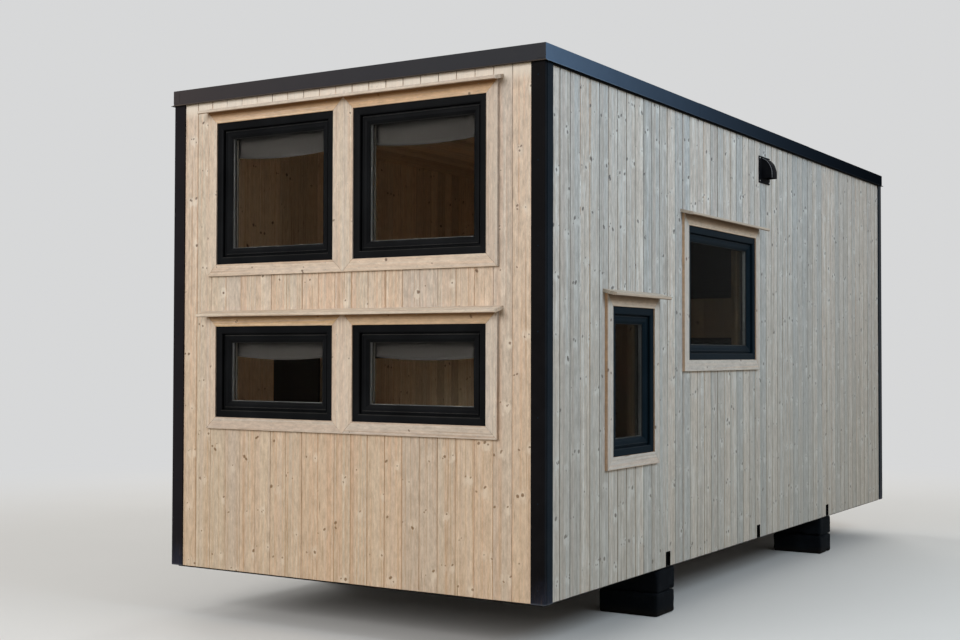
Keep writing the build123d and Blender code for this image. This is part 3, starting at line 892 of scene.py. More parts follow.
class Palette:
    """Every finish of the house, built once."""

    END_BOARDS = Spruce(
        "spruce_end_boards", (0.665, 0.592, 0.49), (0.52, 0.425, 0.325), (0.615, 0.44, 0.33),
        pale=(0.84, 0.775, 0.68), warm=(0.635, 0.44, 0.32), haloed=0.52, tinted=0.36, seed=1.0,
        low_shade_tone=(0.54, 0.305, 0.08), low_shade=0.24, painted_top_light=0.75, differs=0.065, knot=(0.165, 0.085, 0.048),
        biggest=0.0054, mottled=1.3,
    )
    SIDE_BOARDS = Spruce(
        "spruce_side_boards", (0.575, 0.568, 0.552), (0.405, 0.392, 0.365), (0.505, 0.455, 0.425),
        thread=(0.26, 0.235, 0.205), pale=(0.76, 0.79, 0.79), warm=(0.545, 0.48, 0.42),
        cool=(0.465, 0.522, 0.56), knot=(0.13, 0.118, 0.115), rim=(0.045, 0.045, 0.05),
        grey=(0.47, 0.48, 0.48), tinted=0.46, haloed=0.5, weathered=0.2, smears=0.55, differs=0.125,
        seed=41.0, low_shade_tone=(0.33, 0.29, 0.215), low_shade=0.32, lined=1.8, mottled=1.55, knots=0.88,
        biggest=0.0072, smallest=0.0034,
    )
    # The groove finishes dress the bevelled long edges beside each joint: their darker, warmer tones are
    # partly the joints' own colour and partly painted shade in the grooves.
    END_GROOVES = replace(
        END_BOARDS, name="spruce_end_grooves", light=(0.59, 0.43, 0.295), dark=(0.48, 0.325, 0.205),
        differs=0.18, painted_top_light=0.0, painted_groove_shade=0.5,
    )
    END_DARK_GROOVES = replace(
        END_GROOVES, name="spruce_end_dark_grooves", light=(0.42, 0.29, 0.19), dark=(0.32, 0.21, 0.13),
    )
    SIDE_GROOVES = replace(
        SIDE_BOARDS, name="spruce_side_grooves", light=(0.45, 0.33, 0.215), dark=(0.3, 0.205, 0.125),
        warm=(0.44, 0.275, 0.16), tinted=0.5, weathered=0.06, smears=0.0, differs=0.2, painted_groove_shade=0.9,
    )
    SIDE_DARK_GROOVES = replace(
        SIDE_GROOVES, name="spruce_side_dark_grooves", light=(0.225, 0.18, 0.135), dark=(0.12, 0.096, 0.072),
        warm=(0.2, 0.15, 0.1), differs=0.35,
    )
    TRIM_BOARDS = Spruce(
        "spruce_trim_boards", (0.68, 0.592, 0.49), (0.56, 0.455, 0.345), (0.625, 0.495, 0.395), knots=0.6,
        seed=83.0, spread=0.136,
    )
    SIDE_TRIM = Spruce(
        "spruce_side_trim", (0.55, 0.545, 0.52), (0.435, 0.42, 0.39), (0.525, 0.48, 0.43),
        grey=(0.49, 0.5, 0.5), weathered=0.22, smears=0.25, haloed=0.2, knots=0.5, seed=97.0, spread=0.09,
    )
    # Painted shade: the head boards under the hoods are a warmer, more orange copy of the trim wood, with a
    # painted hood shadow along their upper edge.
    HOOD_SHADE_TRIM = Spruce(
        "spruce_hood_painted_shade", (0.69, 0.48, 0.275), (0.565, 0.37, 0.19), (0.62, 0.4, 0.225), knots=0.45,
        haloed=0.15, seed=107.0, spread=0.09, kept=0.8,
    )
    SIDE_HOOD_SHADE_TRIM = replace(
        HOOD_SHADE_TRIM, name="spruce_side_hood_painted_shade", light=(0.61, 0.535, 0.445), dark=(0.49, 0.405, 0.315),
        painted_hood_shadow_tone=(0.12, 0.062, 0.03),
    )
    # Painted shade: the casing edges on the end walls are a darker copy of the trim wood.
    SHADED_EDGES = Spruce(
        "spruce_end_edges_painted_shade", (0.43, 0.35, 0.285), (0.33, 0.262, 0.205), (0.4, 0.31, 0.245), knots=0.3,
        haloed=0.1, seed=109.0, spread=0.05,
    )
    # Painted light: the casing edges on the long walls are a warm orange copy of the trim wood, as edges in
    # warm light look.
    LIT_SIDE_EDGES = replace(
        SHADED_EDGES, name="spruce_side_edges_painted_light", light=(0.64, 0.4, 0.23), dark=(0.51, 0.3, 0.155),
        blush=(0.6, 0.35, 0.2),
    )
    HOOD_BOARDS = Spruce(
        "spruce_hood_boards", (0.71, 0.615, 0.5), (0.6, 0.485, 0.365), (0.65, 0.51, 0.395), knots=0.35,
        haloed=0.15, seed=113.0, spread=0.1,
    )
    SIDE_HOODS = replace(
        HOOD_BOARDS, name="spruce_side_hoods", light=(0.44, 0.39, 0.32), dark=(0.33, 0.275, 0.21),
        weathered=0.25, smears=0.3,
    )
    # Painted shade: the hoods' undersides are a dark orange copy of the wood, as they look in the hoods' own
    # shadow.
    SHADED_HOOD_UNDERSIDE = replace(
        SHADED_EDGES, name="spruce_hood_underside_painted_shade", light=(0.27, 0.125, 0.042), dark=(0.17, 0.068, 0.02), spread=0.1,
    )
    SIDE_SHADED_HOOD_UNDERSIDE = replace(
        SHADED_HOOD_UNDERSIDE, name="spruce_side_hood_underside_painted_shade", light=(0.18, 0.095, 0.045),
        dark=(0.11, 0.052, 0.024),
    )
    INNER_BOARDS = Spruce(
        "spruce_inner_boards", (0.8, 0.61, 0.41), (0.64, 0.455, 0.28), (0.715, 0.515, 0.33),
        pale=(0.76, 0.55, 0.34), warm=(0.64, 0.4, 0.215), cool=(0.62, 0.45, 0.275), grey=(0.58, 0.42, 0.26),
        seed=131.0, differs=0.16,
    )
    FLOOR_BOARDS = Spruce(
        "spruce_floor_boards", (0.42, 0.29, 0.18), (0.28, 0.175, 0.095), (0.36, 0.23, 0.13),
        grey=(0.33, 0.27, 0.2), seed=171.0,
    )
    # Painted light: the corner angles' end-wall legs turn lighter towards the negative x side.
    CORNER_COAT = Coat(
        "black_corner_coat", (0.0042, 0.0041, 0.0046), worn=(0.04, 0.038, 0.044), scuffed=0.55,
        specular=0.015, dusty=0.05, painted_light=(0.014, 0.0125, 0.015), painted_light_way=(0.9, 0.0, 0.0), painted_light_start=1.1,
    )
    STEP_COAT = Coat("black_step_coat", (0.0045, 0.0068, 0.0105), scuffed=0.55, specular=0.015, dusty=0.05)
    # Painted reflection: the corner angles' long-wall legs and all their screws are a bluish copy of the
    # coat, as a sky reflection.
    SIDE_LEG_REFLECTION_COAT = Coat("black_trim_painted_reflection", (0.0055, 0.0115, 0.019), scuffed=0.55, specular=0.02, dusty=0.08)
    # Painted reflection: the long walls' cap coat is near black, with a painted blue sky reflection that
    # fades from the front towards the rear.
    CAP_COAT = Coat(
        "black_side_cap_coat", (0.0012, 0.0015, 0.002), worn=(0.012, 0.016, 0.022), specular=0.0, dusty=0.05,
        painted_light=(0.1, 0.154, 0.241), painted_light_way=(0.0, 0.61, 0.0), painted_light_start=1.85,
    )
    # Painted highlight along the long caps' drip edges, with a painted blue reflection near the front.
    SIDE_DRIP_HIGHLIGHT = replace(CAP_COAT, name="grey_side_drip_painted_highlight", base=(0.01, 0.012, 0.015), painted_light=(0.15, 0.215, 0.3))
    # Painted light: the end walls' caps are a lighter copy of the cap coat, lighter still towards the
    # negative x side.
    LIT_END_CAP_COAT = Coat(
        "black_end_cap_painted_light", (0.03, 0.033, 0.04), worn=(0.07, 0.064, 0.064), specular=0.03, dusty=0.08,
        painted_light=(0.052, 0.045, 0.047), painted_light_way=(0.9, 0.0, 0.0), painted_light_start=1.1,
    )
    # Painted highlight along the end caps' drip edges, in a lighter brown.
    END_DRIP_HIGHLIGHT = replace(
        LIT_END_CAP_COAT, name="brown_end_drip_painted_highlight", base=(0.05, 0.038, 0.031), painted_light=(0.085, 0.066, 0.055),
    )
    FRAME_COAT = Coat(
        "black_frame_coat", (0.004, 0.0044, 0.0052), worn=(0.04, 0.044, 0.05), dusty=0.04, specular=0.03,
    )
    # The frames' and sashes' bevels carry more settled dust, which also stands in for a painted highlight
    # along the bevels.
    FRAME_EDGE_DUST_AND_HIGHLIGHT = replace(FRAME_COAT, name="black_frame_edge_dust_and_highlight", dusty=0.6)
    # Painted reflection: the long walls' frames, sashes, door and hinges are a bluish copy of the frame coat,
    # as a cool sky reflection.
    SIDE_FRAME_REFLECTION_COAT = replace(
        FRAME_COAT, name="black_side_frame_painted_reflection", base=(0.0042, 0.0105, 0.0165), worn=(0.03, 0.046, 0.066),
        specular=0.012,
    )
    SIDE_FRAME_EDGE_DUST_AND_HIGHLIGHT = replace(SIDE_FRAME_REFLECTION_COAT, name="black_side_frame_edge_dust_and_highlight", dusty=0.3)
    VENT_PLASTIC = Coat(
        "black_vent_plastic", (0.0038, 0.0041, 0.0056), roughness=0.55, specular=0.012, dusty=0.01
    )
    # Painted shade: the cut faces round the holes in the cladding are near black, so that the notches for the
    # cross tubes look as dark as shade.
    NOTCH_SHADE_BLACK = Coat("notch_cut_painted_shade", (0.003, 0.0031, 0.0034), specular=0.0, dusty=0.0)
    # Painted highlight: grey beads along the cowl's two ridges stand in for the light lines on its rounded
    # edges.
    VENT_RIDGE_HIGHLIGHT = Coat("grey_vent_ridge_painted_highlight", (0.15, 0.16, 0.175), roughness=0.4, dusty=0.02)
    SPACER = Metal("spacer_aluminium", (0.34, 0.34, 0.34), (0.24, 0.24, 0.24), 0.45)
    BEAD = Coat("grey_inner_bead", (0.15, 0.135, 0.115), worn=(0.19, 0.17, 0.145), specular=0.2, dusty=0.0)
    HANDLE = Metal("handle_steel", (0.52, 0.51, 0.49), (0.38, 0.36, 0.33), 0.3)
    NAIL = Metal("nail_zinc", (0.36, 0.37, 0.38), (0.2, 0.16, 0.12), 0.45)
    SCREW = Metal("screw_pale", (0.62, 0.62, 0.62), (0.42, 0.38, 0.33), 0.34)
    BASE_STEEL = PaintedSteel()
    GLASS = Glass("window_glass")
    # Painted shade: the long walls' and the door's panes are a darker copy of the glass, so the room behind
    # them looks darker.
    SHADED_SIDE_GLASS = Glass("side_window_glass_painted_shade", tint=(0.5, 0.515, 0.5))
    RUBBER = Rubber()
    BLIND = BlindCloth()
    # Painted shade: the blinds of the rear and left walls are a darker copy of the blind cloth.
    SHADED_BLIND = BlindCloth("blind_cloth_painted_shade", (0.02, 0.018, 0.016), (0.011, 0.01, 0.009))
    BLOCK = BlockConcrete()
    FELT = RoofFelt()
    STUDS = StudTimber("stud_timber", (0.46, 0.33, 0.21), (0.32, 0.205, 0.115))
    UNDERSIDE = StudTimber("underside_board", (0.155, 0.12, 0.082), (0.085, 0.062, 0.042))
    FLOOR = Backdrop()

    _made: dict[str, Material] = {}

    @classmethod
    def get(cls, finish: Finish) -> Material:
        """Return the material of a finish, built at its first use.

        Args:
            finish: The finish.

        Returns:
            The material.
        """
        if finish.name not in cls._made:
            cls._made[finish.name] = finish.make()
        return cls._made[finish.name]


# Mesh making

# Every board takes a number of its own, so that no two have the same grain.
board_numbers = counter(1)


def eased(outline: Sequence[Flat], radius: Union[float, Sequence[float]], steps: int = 3) -> list[Flat]:
    """Round the corners of a flat outline.

    Args:
        outline: The corners in order.
        radius: One radius, or one for each corner.
        steps: The number of runs in each rounded corner.

    Returns:
        The new outline.
    """
    radii = [radius] * len(outline) if isinstance(radius, float) else radius
    made: list[Flat] = []
    for i, corner in enumerate(outline):
        here = Vector(corner)
        back, ahead = (Vector(outline[k % len(outline)]) - here for k in (i - 1, i + 1))
        if not radii[i]:
            made.append(tuple(here))
            continue
        half = back.angle(ahead) / 2
        reach = min(radii[i] / tan(half), back.length * 0.49, ahead.length * 0.49)
        start, end = here + back.normalized() * reach, here + ahead.normalized() * reach
        for k in range(steps + 1):
            t = k / steps
            made.append(tuple(start * (1 - t) ** 2 + here * 2 * t * (1 - t) + end * t * t))
    return made


def against_clock(outline: Sequence[Flat]) -> list[Vector]:
    """Return an outline's corners in the order against the clock.

    Args:
        outline: The corners in either order.

    Returns:
        The corners.
    """
    corners = [Vector(p) for p in outline]
    area = sum(a.x * b.y - b.x * a.y for a, b in zip(corners, corners[1:] + corners[:1]))
    return corners[::-1] if area < 0 else corners


def inset_outline(corners: Sequence[Vector], by: float) -> list[Vector]:
    """Move the edges of a convex outline inwards.

    Args:
        corners: The outline, against the clock.
        by: How far.

    Returns:
        The new corners.
    """
    made = []
    for i, here in enumerate(corners):
        a = (here - corners[i - 1]).normalized()
        b = (corners[(i + 1) % len(corners)] - here).normalized()
        na, nb = Vector((-a.y, a.x)), Vector((-b.y, b.x))
        made.append(here + (na + nb) * (by / max(1 + na.dot(nb), 0.2)))
    return made


def turns(sides: int) -> list[Flat]:
    """Return the corners of a round outline with a radius of one."""
    angles = (tau * i / sides for i in range(sides))
    return [(cos(a), sin(a)) for a in angles]


def placed(name: str, data: bpy.types.ID) -> Object:
    """Return a new object in the scene.

    Args:
        name: Its name.
        data: What it shows or does.

    Returns:
        The object.
    """
    made = bpy.data.objects.new(name, data)
    bpy.context.scene.collection.objects.link(made)
    return made


class Sketch:
    """Corners and faces gathered in metres, with a grain map for the finishes."""

    def __init__(self) -> None:
        """Start empty."""
        self.points: list[Vector] = []
        self.faces: list[tuple[int, ...]] = []
        self.maps: list[Flat] = []
        self.slots: list[int] = []
        self.slot = 0

    def add(self, points: Iterable[Vector]) -> int:
        """Add corners and return the first one's number.

        Args:
            points: The corners.

        Returns:
            The number.
        """
        first = len(self.points)
        self.points.extend(points)
        return first

    def face(self, corners: Iterable[int], grain: Iterable[Flat]) -> None:
        """Add a face with its place on the grain map.

        Args:
            corners: Its corners' numbers.
            grain: Their places on the map.
        """
        self.faces.append(tuple(corners))
        self.maps.extend(grain)
        self.slots.append(self.slot)

    def loft(
        self, rings: Sequence[Sequence[Vector]], number: int = 0, other: range = range(0),
        other_slot: int = 0,
    ) -> None:
        """Join rings of corners into one closed body.

        Args:
            rings: The outlines in order.
            number: Its number on the grain map.
            other: The runs of it with another finish.
            other_slot: The slot of that finish.
        """
        slot, count, last = self.slot, len(rings[0]), len(rings) - 1
        around = [0.0]
        for a, b in zip(rings[0], [*rings[0][1:], rings[0][0]]):
            around.append(around[-1] + (b - a).length)
        middle = [sum(ring, Vector()) / count for ring in rings]
        axis = (middle[-1] - middle[0]).normalized()
        along = [[(p - middle[0]).dot(axis) for p in ring] for ring in rings]
        first = self.add(point for ring in rings for point in ring)
        for j, i in product(range(last), range(count)):
            k = (i + 1) % count
            square = ((j, i, i), (j, k, i + 1), (j + 1, k, i + 1), (j + 1, i, i))
            self.slot = other_slot if i in other else slot
            self.face(
                (first + a * count + b for a, b, _ in square),
                ((number + around[c], along[a][b]) for a, b, c in square),
            )
        self.slot = slot
        for j in (0, last):
            across = (rings[j][1] - rings[j][0]).normalized()
            up = axis.cross(across)
            spots = [(number + 0.3 + (p - middle[j]).dot(across), (p - middle[j]).dot(up)) for p in rings[j]]
            start = first + j * count
            self.face(range(start, start + count), ((u, along[j][0] + v) for u, v in spots))

    def slab(self, near: Sequence[Sequence[Vector]], far: Sequence[Sequence[Vector]], cell: Flat) -> None:
        """Join two grids of corners into one closed body.

        Args:
            near: The rows of one side.
            far: The rows of the other side.
            cell: The size of one cell on the grain map.
        """
        high, wide = len(near) - 1, len(near[0]) - 1
        a, b = (self.add(p for row in grid for p in row) for grid in (near, far))

        def quad(*corners: tuple[int, int, int]) -> None:
            """Add a face with these corners.

            Args:
                *corners: The first number of its side, the column and the row of each.
            """
            self.face(
                (side + j * (wide + 1) + i for side, i, j in corners),
                ((cell[0] * i, cell[1] * j) for _, i, j in corners),
            )

        for side, j, i in product((a, b), range(high), range(wide)):
            quad((side, i, j), (side, i + 1, j), (side, i + 1, j + 1), (side, i, j + 1))
        ring = [(i, 0) for i in range(wide)] + [(wide, j) for j in range(high)]
        ring += [(wide - i, high - j) for i, j in ring]
        for p, q in zip(ring, ring[1:] + ring[:1]):
            quad((a, *p), (a, *q), (b, *q), (b, *p))

    def board(
        self, face: Face, rect: Rect, front: float, back: float, arris: float = 0.0,
        holes: Sequence[Rect] = (), number: int = 0, end_arris: float = 0.0, groove: int = 0,
        cut_slot: int = 0,
    ) -> None:
        """Add an upright board with bevelled long edges, cut round holes.

        Args:
            face: Where it lies.
            rect: The board's outline there.
            front: How far out its face is.
            back: How far out its back is.
            arris: The bevel of its long edges.
            holes: What is cut out of it.
            number: Its number on the grain map.
            end_arris: The bevel of its two ends.
            groove: The slot of the finish on its long edges.
            cut_slot: The slot of the finish in its holes.
        """
        inward = copysign(1.0, back - front)
        cuts = [h for h in holes if h.left < rect.right and h.right > rect.left
                and h.low < rect.high and h.high > rect.low]
        columns = {rect.left, rect.right, rect.left + arris, rect.right - arris}
        rows = {rect.low, rect.high, rect.low + end_arris, rect.high - end_arris}
        for h in cuts:
            columns.update(u for u in (h.left, h.right) if rect.left < u < rect.right)
            rows.update(z for z in (h.low, h.high) if rect.low < z < rect.high)
        us, zs = sorted(columns), sorted(rows)
        wide, high = len(us) - 1, len(zs) - 1
        solid = {
            (i, j) for i, j in product(range(wide), range(high))
            if not any(h.left < (us[i] + us[i + 1]) / 2 < h.right
                       and h.low < (zs[j] + zs[j + 1]) / 2 < h.high for h in cuts)
        }
        ids: dict[tuple[int, int, bool], int] = {}

        def depth(i: int, j: int) -> float:
            """Return how far out a corner of the board's face is."""
            side = min(us[i] - rect.left, rect.right - us[i])
            return front + inward * max(arris - side, end_arris - min(zs[j] - zs[0], zs[-1] - zs[j]), 0.0)

        def quad(*corners: tuple[int, int, bool]) -> None:
            """Add a face with these corners.

            Args:
                *corners: The column and row of each, and whether it is on the board's face.
            """
            for i, j, near in corners:
                if (i, j, near) not in ids:
                    out = depth(i, j) if near else back
                    ids[i, j, near] = self.add([face.at(us[i], zs[j], out)])
            self.face(
                (ids[c] for c in corners),
                ((number + us[i] - rect.left + (0.0 if near else 0.02), zs[j]) for i, j, near in corners),
            )

        for i, j in product(range(wide), range(high)):
            if (i, j) not in solid:
                continue
            square = [(i, j), (i + 1, j), (i + 1, j + 1), (i, j + 1)]
            edge = min(us[i] - rect.left, rect.right - us[i + 1]) < arris / 2
            for near in (True, False):
                self.slot = groove if edge and near else 0
                quad(*((*c, near) for c in square))
            for k, beside in enumerate(((i, j - 1), (i + 1, j), (i, j + 1), (i - 1, j))):
                if beside not in solid:
                    inside = 0 <= beside[0] < wide and 0 <= beside[1] < high
                    self.slot = cut_slot if inside else groove
                    a, b = square[k], square[(k + 1) % 4]
                    quad((*a, True), (*b, True), (*b, False), (*a, False))
        self.slot = 0

    def plate(
        self, face: Face, outline: Sequence[Flat], front: float, back: float, arris: float, number: int = 0,
        grain: Flat = (0.0, 1.0), steps: int = 1, edge_slot: Optional[int] = None,
    ) -> None:
        """Add a flat convex plate with eased front edges.

        Args:
            face: Where it lies.
            outline: Its corners there, in order.
            front: How far out its face is.
            back: How far out its back is.
            arris: The width of the eased edge.
            number: Its number on the grain map.
            grain: The direction of its grain.
            steps: The number of runs in the eased edge.
            edge_slot: The slot of its edges' own finish, if any.
        """
        slot, corners = self.slot, against_clock(outline)
        inward = copysign(1.0, back - front)
        levels = [(0.0, back)]
        for k in range(steps + 1):
            turn = QUARTER * k / steps
            levels.append((arris * (1 - cos(turn)), front + inward * arris * (1 - sin(turn))))
        way = Vector(grain).normalized()
        side = Vector((way.y, -way.x))
        low, count, top = min(p.dot(side) for p in corners), len(corners), len(levels) - 1
        flats = [inset_outline(corners, inset) for inset, _ in levels]
        first = self.add(face.at(*p, out) for ring, (_, out) in zip(flats, levels) for p in ring)

        def panel(*places: tuple[int, int, float]) -> None:
            """Add a face with these corners.

            Args:
                *places: The level, the corner and the slip on the map of each.
            """
            spots = [(flats[j][i], slip) for j, i, slip in places]
            self.face(
                (first + j * count + i for j, i, _ in places),
                ((number + p.dot(side) - low + slip, p.dot(way)) for p, slip in spots),
            )

        for j, i in product(range(top), range(count)):
            k = (i + 1) % count
            self.slot = slot if edge_slot is None or j else edge_slot
            panel((j, i, 0.0), (j, k, 0.0), (j + 1, k, 0.002), (j + 1, i, 0.002))
        self.slot = slot
        for j in (top, 0):
            panel(*((j, i, 0.0) for i in range(count)))

    def surround(
        self, face: Face, outer: Rect, inner: Rect, section: Section, gap: float = 0.0002,
        other: range = range(0), other_slot: int = 0,
    ) -> None:
        """Add a frame of four mitred members.

        Args:
            face: The wall.
            outer: The frame's outline.
            inner: Its opening.
            section: The members' section.
            gap: The open line at each mitre.
            other: The runs of it with another finish.
            other_slot: The slot of that finish.
        """
        corners = ((0, 2), (1, 2), (1, 3), (0, 3))
        for a, b in zip(corners, corners[1:] + corners[:1]):
            way = Vector((b[0] - a[0], b[1] - a[1])).normalized() * gap / 2
            rings = []
            for (u, z), shift in ((a, way), (b, -way)):
                ring = []
                for anchor, step, out in section:
                    base, move = (inner, -step) if anchor else (outer, step)
                    across = base[u] + (-move if u else move) + shift.x
                    ring.append(face.at(across, base[z] + (move if z == 2 else -move) + shift.y, out))
                rings.append(ring)
            self.loft(rings, 0, other, other_slot)

    def stud(
        self, face: Face, along: float, up: float, out: float, radius: float, height: float, sides: int = 10,
        slot_width: float = 0.0,
    ) -> None:
        """Add a low domed head, such as a nail's or a screw's.

        Args:
            face: Where it stands.
            along: Its place along the face.
            up: Its place up the face.
            out: How far out the surface is.
            radius: Its radius.
            height: How far its top stands out.
            sides: Its number of sides.
            slot_width: The width of a dip in its top, or 0.
        """
        dome = ((1.0, -0.25), (1.0, 0.35), (0.82, 0.8), (0.42, 1.0))
        levels = [(radius * share, out + height * rise) for share, rise in dome]
        if slot_width:
            levels.append((slot_width, out + height * 0.45))
        self.loft([[face.at(along + r * c, up + r * s, w) for c, s in turns(sides)] for r, w in levels])

    def tube(
        self, path: Sequence[tuple[Vector, float]], up: Vector, sides: int = 20, flat: float = 1.0
    ) -> None:
        """Add a round bar.

        Args:
            path: The points along it, each with a radius.
            up: A direction across it.
            sides: Its number of sides.
            flat: Its thickness over its height.
        """
        rings = []
        for k, (centre, radius) in enumerate(path):
            way = (path[min(k + 1, len(path) - 1)][0] - path[max(k - 1, 0)][0]).normalized()
            side = (up - way * up.dot(way)).normalized()
            across = way.cross(side) * flat
            rings.append([centre + side * radius * c + across * radius * s for c, s in turns(sides)])
        self.loft(rings)

    def piece(
        self, name: str, *finishes: Finish, nodes: Sequence[str] = (), slot: str, smooth: float = 0.0,
    ) -> Object:
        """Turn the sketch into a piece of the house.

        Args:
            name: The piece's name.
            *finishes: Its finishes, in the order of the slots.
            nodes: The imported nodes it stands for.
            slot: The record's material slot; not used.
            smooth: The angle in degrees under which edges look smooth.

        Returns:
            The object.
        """
        mesh = bpy.data.meshes.new(name)
        mesh.from_pydata([tuple(p) for p in self.points], [], self.faces)
        layer = mesh.uv_layers.new(name="grain")
        layer.data.foreach_set("uv", [x for spot in self.maps for x in spot])
        mesh.polygons.foreach_set("material_index", self.slots)
        work = bmesh.new()
        work.from_mesh(mesh)
        bmesh.ops.recalc_face_normals(work, faces=work.faces)
        work.to_mesh(mesh)
        work.free()
        if smooth:
            soften(mesh, radians(smooth))
        for finish in finishes:
            mesh.materials.append(Palette.get(finish))
        made = placed(name, mesh)
        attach(made, "root")
        if nodes:
            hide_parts(*nodes)
        log.info("%s: %d faces", name, len(mesh.polygons))
        return made


def soften(mesh: Mesh, angle: float) -> None:
    """Shade small arrises round without bending the look of the flats beside them.

    Args:
        mesh: The mesh, with its faces turned outwards.
        angle: Edges sharper than this stay sharp, in radians.
    """
    mesh.polygons.foreach_set("use_smooth", [True] * len(mesh.polygons))
    around: list[list[int]] = [[] for _ in mesh.vertices]
    for face in mesh.polygons:
        for corner in face.vertices:
            around[corner].append(face.index)
    normals = [face.normal.copy() for face in mesh.polygons]
    areas = [face.area for face in mesh.polygons]
    limit = cos(angle)
    shaded = []
    for face in mesh.polygons:
        here = normals[face.index]
        for corner in face.vertices:
            near = [i for i in around[corner] if normals[i].dot(here) > limit]
            total = sum((normals[i] * areas[i] for i in near), Vector())
            shaded.append(total.normalized() if total.length > 1e-12 else here)
    mesh.normals_split_custom_set(shaded)


# Walls

@dataclass
class WallPart:
    """A sub-assembly that belongs to one wall."""

    house: House
    side: Side

    @property
    def face(self) -> Face:
        """The wall's cladding face."""
        return self.house.face(self.side)

    def either(self, at_end: Finish, at_side: Finish) -> Finish:
        """Return the finish for an end wall or the one for a long wall."""
        return at_end if self.side.end else at_side

    def piece(self, sketch: Sketch, part: str, kind: str, *finishes: Finish, **options: object) -> Object:
        """Turn a sketch into the piece that stands for one node of the wall.

        Args:
            sketch: The sketch.
            part: The node's name without the wall.
            kind: What the piece's name adds to the node's.
            *finishes: Its finishes.
            **options: The record's slot, and the angle of smooth edges.

        Returns:
            The object.
        """
        name = f"{self.side.value}_{part}"
        return sketch.piece(f"{name}_{kind}", *finishes, nodes=[name], **options)


@dataclass
class Cladding(WallPart):
    """One wall's upright cladding boards."""

    cover: float
    joint: float

    def holes(self) -> list[Rect]:
        """Return what is cut through the boards.

        Returns:
            The openings and the notches.
        """
        house = self.house
        low, half = house.cladding_bottom - 0.01, house.slot_half
        slots = [] if self.side.end else [
            Rect(place - half, place + half, low, house.slot_top) for place in house.tube_places
        ]
        return house.openings(self.side) + slots

    def build(self) -> None:
        """Build the boards."""
        house, end = self.house, self.side.end
        dice = random.Random(f"{self.side.value} boards")
        reach = house.half_width if end else house.half_length - house.cladding_depth
        gaps, bevels = ((0.0001, 0.0008), (0.001, 0.003)) if end else ((0.0012, 0.0034), (0.0024, 0.0042))
        first = floor((-reach - self.joint) / self.cover)
        joints = [self.joint + k * self.cover for k in range(first, first + 80)]
        edges = [-reach, *(u for u in joints if -reach + 0.02 < u < reach - 0.02), reach]
        sketch, holes = Sketch(), self.holes()
        for left, right in zip(edges, edges[1:]):
            gap, arris = dice.uniform(*gaps), dice.uniform(*bevels)
            warm = dice.random() < (0.65 if end else 0.45 if abs(left) > 2.2 else 0.2)
            low = house.cladding_bottom + dice.uniform(0.0, 0.0012)
            # The cut faces round the holes take the fourth slot's near-black painted shade finish.
            sketch.board(
                self.face, Rect(left + gap / 2, right - gap / 2, low, house.cladding_top),
                -dice.uniform(0.0, 0.0006), -house.cladding_depth, arris, holes, next(board_numbers), 0.0012,
                1 if warm else 2, 3,
            )
        self.piece(
            sketch, "cladding", "boards", self.either(Palette.END_BOARDS, Palette.SIDE_BOARDS),
            self.either(Palette.END_GROOVES, Palette.SIDE_GROOVES),
            self.either(Palette.END_DARK_GROOVES, Palette.SIDE_DARK_GROOVES), Palette.NOTCH_SHADE_BLACK,
            slot="end_cladding_wood" if end else "side_cladding_wood",
        )


@dataclass
class Room:
    """The boards inside: linings, ceiling and floor."""

    house: House
    cover: float = 0.096
    floor_cover: float = 0.135
    arris: float = 0.0022
    open_line: float = 0.0004

    def run(
        self, sketch: Sketch, face: Face, rect: Rect, cover: float, front: float, back: float,
        holes: Sequence[Rect] = (),
    ) -> None:
        """Add a run of boards side by side.

        Args:
            sketch: Where they go.
            face: Where they lie.
            rect: The outline of the run.
            cover: The width of one board.
            front: How far out their faces are.
            back: How far out their backs are.
            holes: What is cut out of them.
        """
        count = max(1, round((rect.right - rect.left) / cover))
        width = (rect.right - rect.left) / count
        for i in range(count):
            left = rect.left + i * width
            board = Rect(left + self.open_line, left + width - self.open_line, rect.low, rect.high)
            sketch.board(face, board, front, back, self.arris, holes, next(board_numbers))

    def build(self) -> None:
        """Build every run."""
        house = self.house
        back = -house.cladding_depth - house.core_depth
        for name, sides, reach in (
            ("end_linings", (Side.FRONT, Side.REAR), house.half_width - 0.13),
            ("side_linings", (Side.RIGHT, Side.LEFT), house.half_length - 0.118),
        ):
            sketch = Sketch()
            rect = Rect(-reach, reach, house.floor_level + 0.002, house.ceiling_level)
            for side in sides:
                self.run(
                    sketch, house.face(side), rect, self.cover, back - house.lining_depth, back,
                    house.openings(side),
                )
            sketch.piece(f"{name}_boards", Palette.INNER_BOARDS, nodes=[name], slot="lining_wood")
        level = Face(Vector(), *Matrix.Identity(3))
        for name, cover, front, back, finish, slot in (
            ("ceiling", self.cover, house.ceiling_level, house.roof_bottom, Palette.INNER_BOARDS,
             "lining_wood"),
            ("floorboards", self.floor_cover, house.floor_level, house.cassette_top,
             Palette.FLOOR_BOARDS, "floor_wood"),
        ):
            sketch = Sketch()
            self.run(sketch, level, Rect(-1.123, 1.123, -2.868, 2.868), cover, front, back)
            sketch.piece(f"{name}_planks", finish, nodes=[name], slot=slot)


# Windows

FRAME_SECTION: Section = [
    (0, 0.0, -0.075), (0, 0.0, 0.0082), (0, 0.0006, 0.0094), (0, 0.0018, 0.01), (1, 0.009, 0.01),
    (1, 0.003, 0.0068), (1, 0.0006, 0.005), (1, 0.0, 0.0032), (1, 0.0, -0.075),
]
GAP_SEAL: Section = [(0, 0.0, -0.04), (0, 0.0, -0.022), (1, 0.0, -0.022), (1, 0.0, -0.04)]


